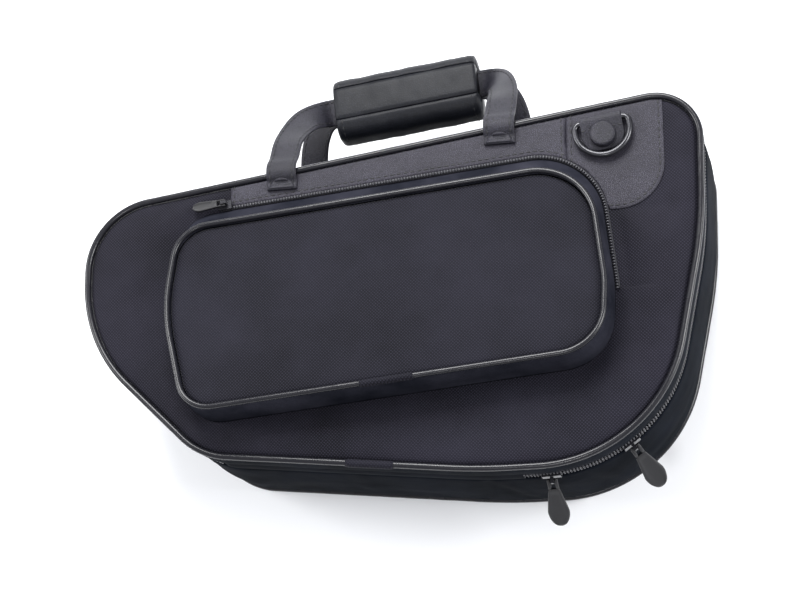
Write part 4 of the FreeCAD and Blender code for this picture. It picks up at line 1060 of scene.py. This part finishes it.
# Each ring hangs in a tab of folded leatherette that a snap cap closes. The front one is sewn on its patch
# and the other on the wall at the narrow end; the ring is black enamelled metal, the cap covered in leather.
def enamel(name, colour, rough):
    """Black paint on metal, polished by handling."""
    made = finish(name, colour, rough, 0.6)
    tree = made.node_tree
    surface = tree.nodes["Principled BSDF"]
    wear = pattern(tree, "ShaderNodeTexNoise", {"Scale": 140, "Detail": 4.0})
    scuffed(tree, wear.outputs["Fac"], rough)
    surface.inputs["Coat Weight"].default_value = 0.4
    surface.inputs["Coat Roughness"].default_value = 0.15
    return made


def dress(material, *nodes):
    """Gives solids that stay as they are their finish."""
    for name in nodes:
        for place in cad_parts[name].material_slots:
            place.link = "OBJECT"
            place.material = material


black_enamel = enamel("black_enamel", (0.022, 0.022, 0.027), 0.3)
dress(black_enamel, "front_ring", "side_ring")
dress(strap_leather, "front_cap", "side_cap")
WIRE_RADIUS, TAB_WIDE, TAB_LONG, TAB_THICK = 2.0, 27, 19.5, 1.2
TAB_REACH = WIRE_RADIUS + 0.3 + TAB_THICK


def tab_skin(name, spot, along, hang, out, body, node):
    """A strip folded round the ring's bar, its two ends rounded and brought together."""
    mid = TAB_REACH - TAB_THICK / 2
    low_end, high_end = -TAB_REACH + TAB_THICK / 2, -TAB_REACH + TAB_THICK * 1.5 + 0.1
    lower = [(-TAB_LONG + 0.3 + (TAB_LONG - 0.3) * k / 16, low_end) for k in range(16)]
    bend = [(mid * math.sin(math.radians(t)), -mid * math.cos(math.radians(t))) for t in range(0, 181, 15)]
    upper = [(-TAB_LONG * k / 16, mid + (high_end - mid) * (k / 16)) for k in range(1, 17)]
    line = np.array(lower + bend + upper)
    travel = np.gradient(line, axis=0)
    travel /= np.linalg.norm(travel, axis=1)[:, None]
    normal = np.column_stack([travel[:, 1], -travel[:, 0]])
    turn_in = TAB_WIDE / 3
    wide = []
    for y, z in line:
        gap = min(max(y + TAB_LONG, 0.05), turn_in)
        wide.append(TAB_WIDE / 2 - turn_in + math.sqrt(turn_in ** 2 - (turn_in - gap) ** 2))
    rows = []
    section = [(-1, 0), (-0.98, 0.42), (-0.94, 0.5), (-0.6, 0.5), (0, 0.5)]
    section += [(-u, v) for u, v in section[-2::-1]]
    section += [(u, -v) for u, v in section[-2:0:-1]]
    for u, v in section:
        row = []
        for (y, z), (ny, nz), half in zip(line, normal, wide):
            p = spot + along * (u * half) + hang * -(y + ny * v * TAB_THICK) + out * (z + nz * v * TAB_THICK)
            row.append(p * MM)
        rows.append(np.array(row))
    made = band(name, rows, strap_leather, closed_path=False)
    mount(made, body, "leatherette", node)
    y, z = -6.0, mid + (high_end - mid) * (6.0 / TAB_LONG) + TAB_THICK / 2 + 0.03
    path = [(spot + along * (u * TAB_WIDE / 2) + hang * -y + out * z) * MM for u in np.linspace(-0.88, 0.88, 8)]
    seam(name + "_seam", path, 0, body, ups=[out] * 8)


lean = math.atan(TOP_SLOPE)
front_bar = np.array((133 + SHIFT[0], 106 + SHIFT[1], FACE + LEATHER + 0.1 + TAB_REACH))
tab_skin(
    "front_ring_tab", front_bar, np.array((math.cos(lean), math.sin(lean), 0)),
    np.array((math.sin(lean), -math.cos(lean), 0)), np.array((0, 0, 1.0)), "lid", "front_tab",
)
side_box = [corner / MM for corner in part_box("side_tab")]
side_bar = np.array((side_box[1].x - TAB_REACH, (side_box[0].y + side_box[1].y) / 2, side_box[1].z - TAB_REACH))
tab_skin(
    "side_ring_tab", side_bar, np.array((0, -1.0, 0)),
    np.array((0, 0, -1.0)), np.array((-1.0, 0, 0)), "case", "side_tab",
)

# The sliders are small black castings. The two of the main zip carry long pulls of soft moulded rubber,
# forked over the slider's loop; the pocket's slider has a short one.
dress(black_enamel, "slider_a", "slider_b", "pocket_slider")


def moulded(name, colour, rough):
    """Soft rubber with a fine satin surface, greyer where it is rubbed."""
    made = finish(name, colour, rough)
    tree = made.node_tree
    rub = pattern(tree, "ShaderNodeTexNoise", {"Scale": 160, "Detail": 5.0})
    shade(tree, rub.outputs["Fac"], 0.4, 0.8, colour, [c * 1.8 for c in colour])
    emboss(tree, rub.outputs["Fac"], 0.2, 0.0003)
    return made


pull_rubber = moulded("pull_rubber", (0.003, 0.003, 0.0045), 0.5)
PULL_THICK, PIN_RADIUS = 2.2, 0.75


def pull_skin(name, pin, across, along, out, length, wide, fork, body, node):
    """A paddle with a raised rim and a dished middle, and two prongs that hold the pin."""
    prong_gap = 1.3
    neck = fork / 2
    widest = length - wide * 0.85
    steps = 34
    stations = []
    for k in range(steps + 1):
        s = fork - 0.3 + (length - fork + 0.3) * (1 - (1 - k / steps) ** 1.4)
        if s <= widest:
            t = (s - fork) / (widest - fork)
            half = neck + (wide / 2 - neck) * max(t, 0) ** 0.9
        else:
            half = wide / 2 * math.sqrt(max(1 - ((s - widest) / (length - widest)) ** 2, 0.001))
        stations.append((s, half))
    section = [(-1, 0), (-0.97, 0.6), (-0.86, 0.95), (-0.72, 1), (-0.6, 0.8), (-0.3, 0.72), (0, 0.7)]
    section += [(-u, v) for u, v in section[-2::-1]]
    section += [(u, -v) for u, v in section[-2:0:-1]]
    rows = []
    for u, v in section:
        row = []
        for s, half in stations:
            rim = min(1, 0.35 + (length - s) / 2.2) if s > widest else 1
            dish = v if abs(v) > 0.9 or s > fork + 2.5 else math.copysign(min(1, abs(v) * 1.25), v) if v else 0
            row.append((pin + across * (u * half) + along * s + out * (dish * rim * PULL_THICK / 2)) * MM)
        rows.append(np.array(row))
    points = list(np.concatenate(rows))
    count = len(stations)
    faces = []
    for r in range(len(rows)):
        here, above = r * count, (r + 1) % len(rows) * count
        faces += [(here + c, here + c + 1, above + c + 1, above + c) for c in range(count - 1)]
    faces += [[r * count for r in range(len(rows))], [r * count + count - 1 for r in range(len(rows))]]
    for way in (-1, 1):
        outer, inner = neck * way, prong_gap * way
        base = len(points)
        ring = 12
        levels = ((-1.15, 0.55), (-0.8, 0.9), (0, 1), (fork * 0.6, 1), (fork + 0.4, 0.95))
        for s, size in levels:
            for k in range(ring):
                turn = 2 * math.pi * k / ring
                c, s_turn = (math.copysign(abs(v) ** 0.6, v) for v in (math.cos(turn), math.sin(turn)))
                a = (inner + outer) / 2 + abs(outer - inner) / 2 * size * c
                b = PULL_THICK / 2 * size * s_turn
                points.append((pin + across * a + along * s + out * b) * MM)
        for r in range(len(levels) - 1):
            for k in range(ring):
                a, b = base + r * ring + k, base + r * ring + (k + 1) % ring
                faces.append((a, b, b + ring, a + ring))
        faces += [[base + k for k in range(ring)], [base + (len(levels) - 1) * ring + k for k in range(ring)]]
    base = len(points)
    for u in (-neck * 0.9, neck * 0.9):
        for k in range(10):
            turn = 2 * math.pi * k / 10
            bar = along * (math.cos(turn) * PIN_RADIUS) + out * (math.sin(turn) * PIN_RADIUS)
            points.append((pin + across * u + bar) * MM)
    faces += [(base + k, base + (k + 1) % 10, base + 10 + (k + 1) % 10, base + 10 + k) for k in range(10)]
    faces += [[base + k for k in range(10)], [base + 10 + k for k in range(10)]]
    made = sewn(name, points, faces, pull_rubber)
    mount(made, body, "pull", node)


heel, heel_radius = Vector(CASE_CORNERS[2][:2]), CASE_CORNERS[2][2]
to_keel = (Vector(CASE_CORNERS[1][:2]) - heel).normalized()
to_hip = (Vector(CASE_CORNERS[3][:2]) - heel).normalized()
heel_middle = heel + (to_keel + to_hip).normalized() * (heel_radius / math.sin(to_keel.angle(to_hip) / 2))
PIN_OUT, DROOP = 2.9, math.radians(50)
# Length, width and neck of each pull.
LONG_PULL, SMALL_PULL = (37, 14, 7), (22, 7, 5)
for letter, angle in (("a", 3), ("b", 36)):
    box = [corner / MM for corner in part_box("slider_" + letter)]
    way = np.array((math.sin(math.radians(angle)), -math.cos(math.radians(angle)), 0))
    middle = np.array((heel_middle.x + SHIFT[0], heel_middle.y + SHIFT[1], (box[0].z + box[1].z) / 2))
    pin = middle + way * (heel_radius + PIN_OUT)
    down = np.array((0, 0, -1.0))
    along = way * math.cos(DROOP) + down * math.sin(DROOP)
    out = way * math.sin(DROOP) - down * math.cos(DROOP)
    across = np.array((math.cos(math.radians(angle)), math.sin(math.radians(angle)), 0))
    pull_skin("long_pull_" + letter, pin, across, along, out, *LONG_PULL, "pull_" + letter, "pull_" + letter)
SMALL_DROOP = math.radians(2.5)
coil_corners = [Vector(c[:2]) for c in spread(POCKET_CORNERS, COIL_REACH, POCKET_LIFT)]
zip_run = (coil_corners[3] - coil_corners[4]).normalized()
start_x = POCKET_CORNERS[4][0] + POCKET_CORNERS[4][2] + 4.5
small_spot = coil_corners[4] + zip_run * ((start_x - coil_corners[4].x) / zip_run.x)
run_3d = np.array((zip_run.x, zip_run.y, 0))
side_3d = np.array((-zip_run.y, zip_run.x, 0))
pin_z = FACE + 0.7 + 1.8 + 0.3 + 1.2 + 2.0
pin = np.array((small_spot.x + SHIFT[0], small_spot.y + SHIFT[1], pin_z)) + side_3d * 3.8
along = -run_3d * math.cos(SMALL_DROOP) + np.array((0, 0, -1.0)) * math.sin(SMALL_DROOP)
out = np.cross(side_3d, along)
out = out if out[2] > 0 else -out
pull_skin("small_pull", pin, side_3d, along, out, *SMALL_PULL, "pocket_pull", "pocket_pull")


# Inside, both halves are foam trays covered with a short dark plush. They show when the lid is open.
def plush(name, dark, light):
    """Short pile that catches the light in brushed patches."""
    made = finish(name, dark, 0.95)
    tree = made.node_tree
    surface = tree.nodes["Principled BSDF"]
    pile = pattern(tree, "ShaderNodeTexNoise", {"Scale": 700, "Detail": 2.0})
    brushed = pattern(tree, "ShaderNodeTexNoise", {"Scale": 16, "Detail": 4.0, "Distortion": 1.2})
    shade(tree, brushed.outputs["Fac"], 0.35, 0.7, dark, light)
    emboss(tree, pile.outputs["Fac"], 0.6, 0.0006)
    surface.inputs["Sheen Weight"].default_value = 0.6
    surface.inputs["Sheen Roughness"].default_value = 0.4
    return made


grey_plush = plush("grey_plush", (0.020, 0.020, 0.026), (0.045, 0.045, 0.056))
FOAM_OUT, PAD_IN = 2.15, 10.2


def tray(name, floor_out, floor_in, rim, seed, body, nodes):
    """One closed padded shell: under its floor, up its outside, over a soft rim, down and across its floor."""
    outer, inner = case_line - case_out * FOAM_OUT, case_line - case_out * PAD_IN
    up = 1 if rim > floor_in else -1
    below = face_rings(outer, case_out, CASE_RIDGE, reach=10, near=3, far=6)[::-1]
    rows = [placed(ring, floor_out) for ring in below]
    rows += [placed(outer, floor_out + (rim - floor_out) * k / 6) for k in (1, 3, 5)]
    for turn in range(20, 161, 28):
        c, s = math.cos(math.radians(turn)), math.sin(math.radians(turn))
        inset = (FOAM_OUT + PAD_IN) / 2 - c * (PAD_IN - FOAM_OUT) / 2
        rows.append(placed(case_line - case_out * inset, rim - up * 2.4 * (1 - s)))
    for k in range(1, 7):
        puff = 0.5 * math.sin(math.pi * k / 7)
        z = rim - up * 2.4 + (floor_in + up * 2.2 - rim + up * 2.4) * k / 7
        rows.append(placed(inner + case_out * -puff, z))
    for k, ring in enumerate(face_rings(inner, case_out, CASE_RIDGE, reach=16, near=6, far=24)):
        cove = 2.2 * math.exp(-k * 0.9)
        pile = 0.5 * (1 - math.exp(-k / 3)) * (1 + wave(ring, 60, seed))
        rows.append(placed(ring, floor_in + up * (cove + pile)))
    made = band(name, rows, grey_plush, closed_section=False)
    mount(made, body, "lining", *nodes, fill=0.7)


foam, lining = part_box("back_foam"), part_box("back_lining")
FLOOR_IN = lining[0].z / MM + 1.0
tray("case_tray", foam[0].z / MM + 0.1, FLOOR_IN, foam[1].z / MM, 31, "case", ("back_foam", "back_lining"))
foam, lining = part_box("front_foam"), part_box("front_lining")
CEILING = lining[1].z / MM - 1.0
tray("lid_tray", foam[1].z / MM - 0.4, CEILING, foam[0].z / MM, 47, "lid", ("front_foam", "front_lining"))

# The case's back is the same ballistic cloth, held off the ground by its piping and sagging a little.
inside = face_rings(panel_line, case_out, CASE_RIDGE, near=3, far=5)[::-1]
back_rows = [placed(ring, BACK + 1.1) for ring in inside]
for k, ring in enumerate(face_rings(panel_line, case_out, CASE_RIDGE)):
    edge = np.clip(-distance(ring, case_line, case_out) - 3, 0, None)
    sag = (1 - np.exp(-edge / 14)) * (1.5 + 0.6 * wave(ring, 60, 55))
    back_rows.append(placed(ring, BACK + 0.5 * math.exp(-k * 1.2) - sag))
case_back = band("case_back", back_rows, ballistic, closed_section=False)
mount(case_back, "case", "twist", "back_panel", fill=0.5)
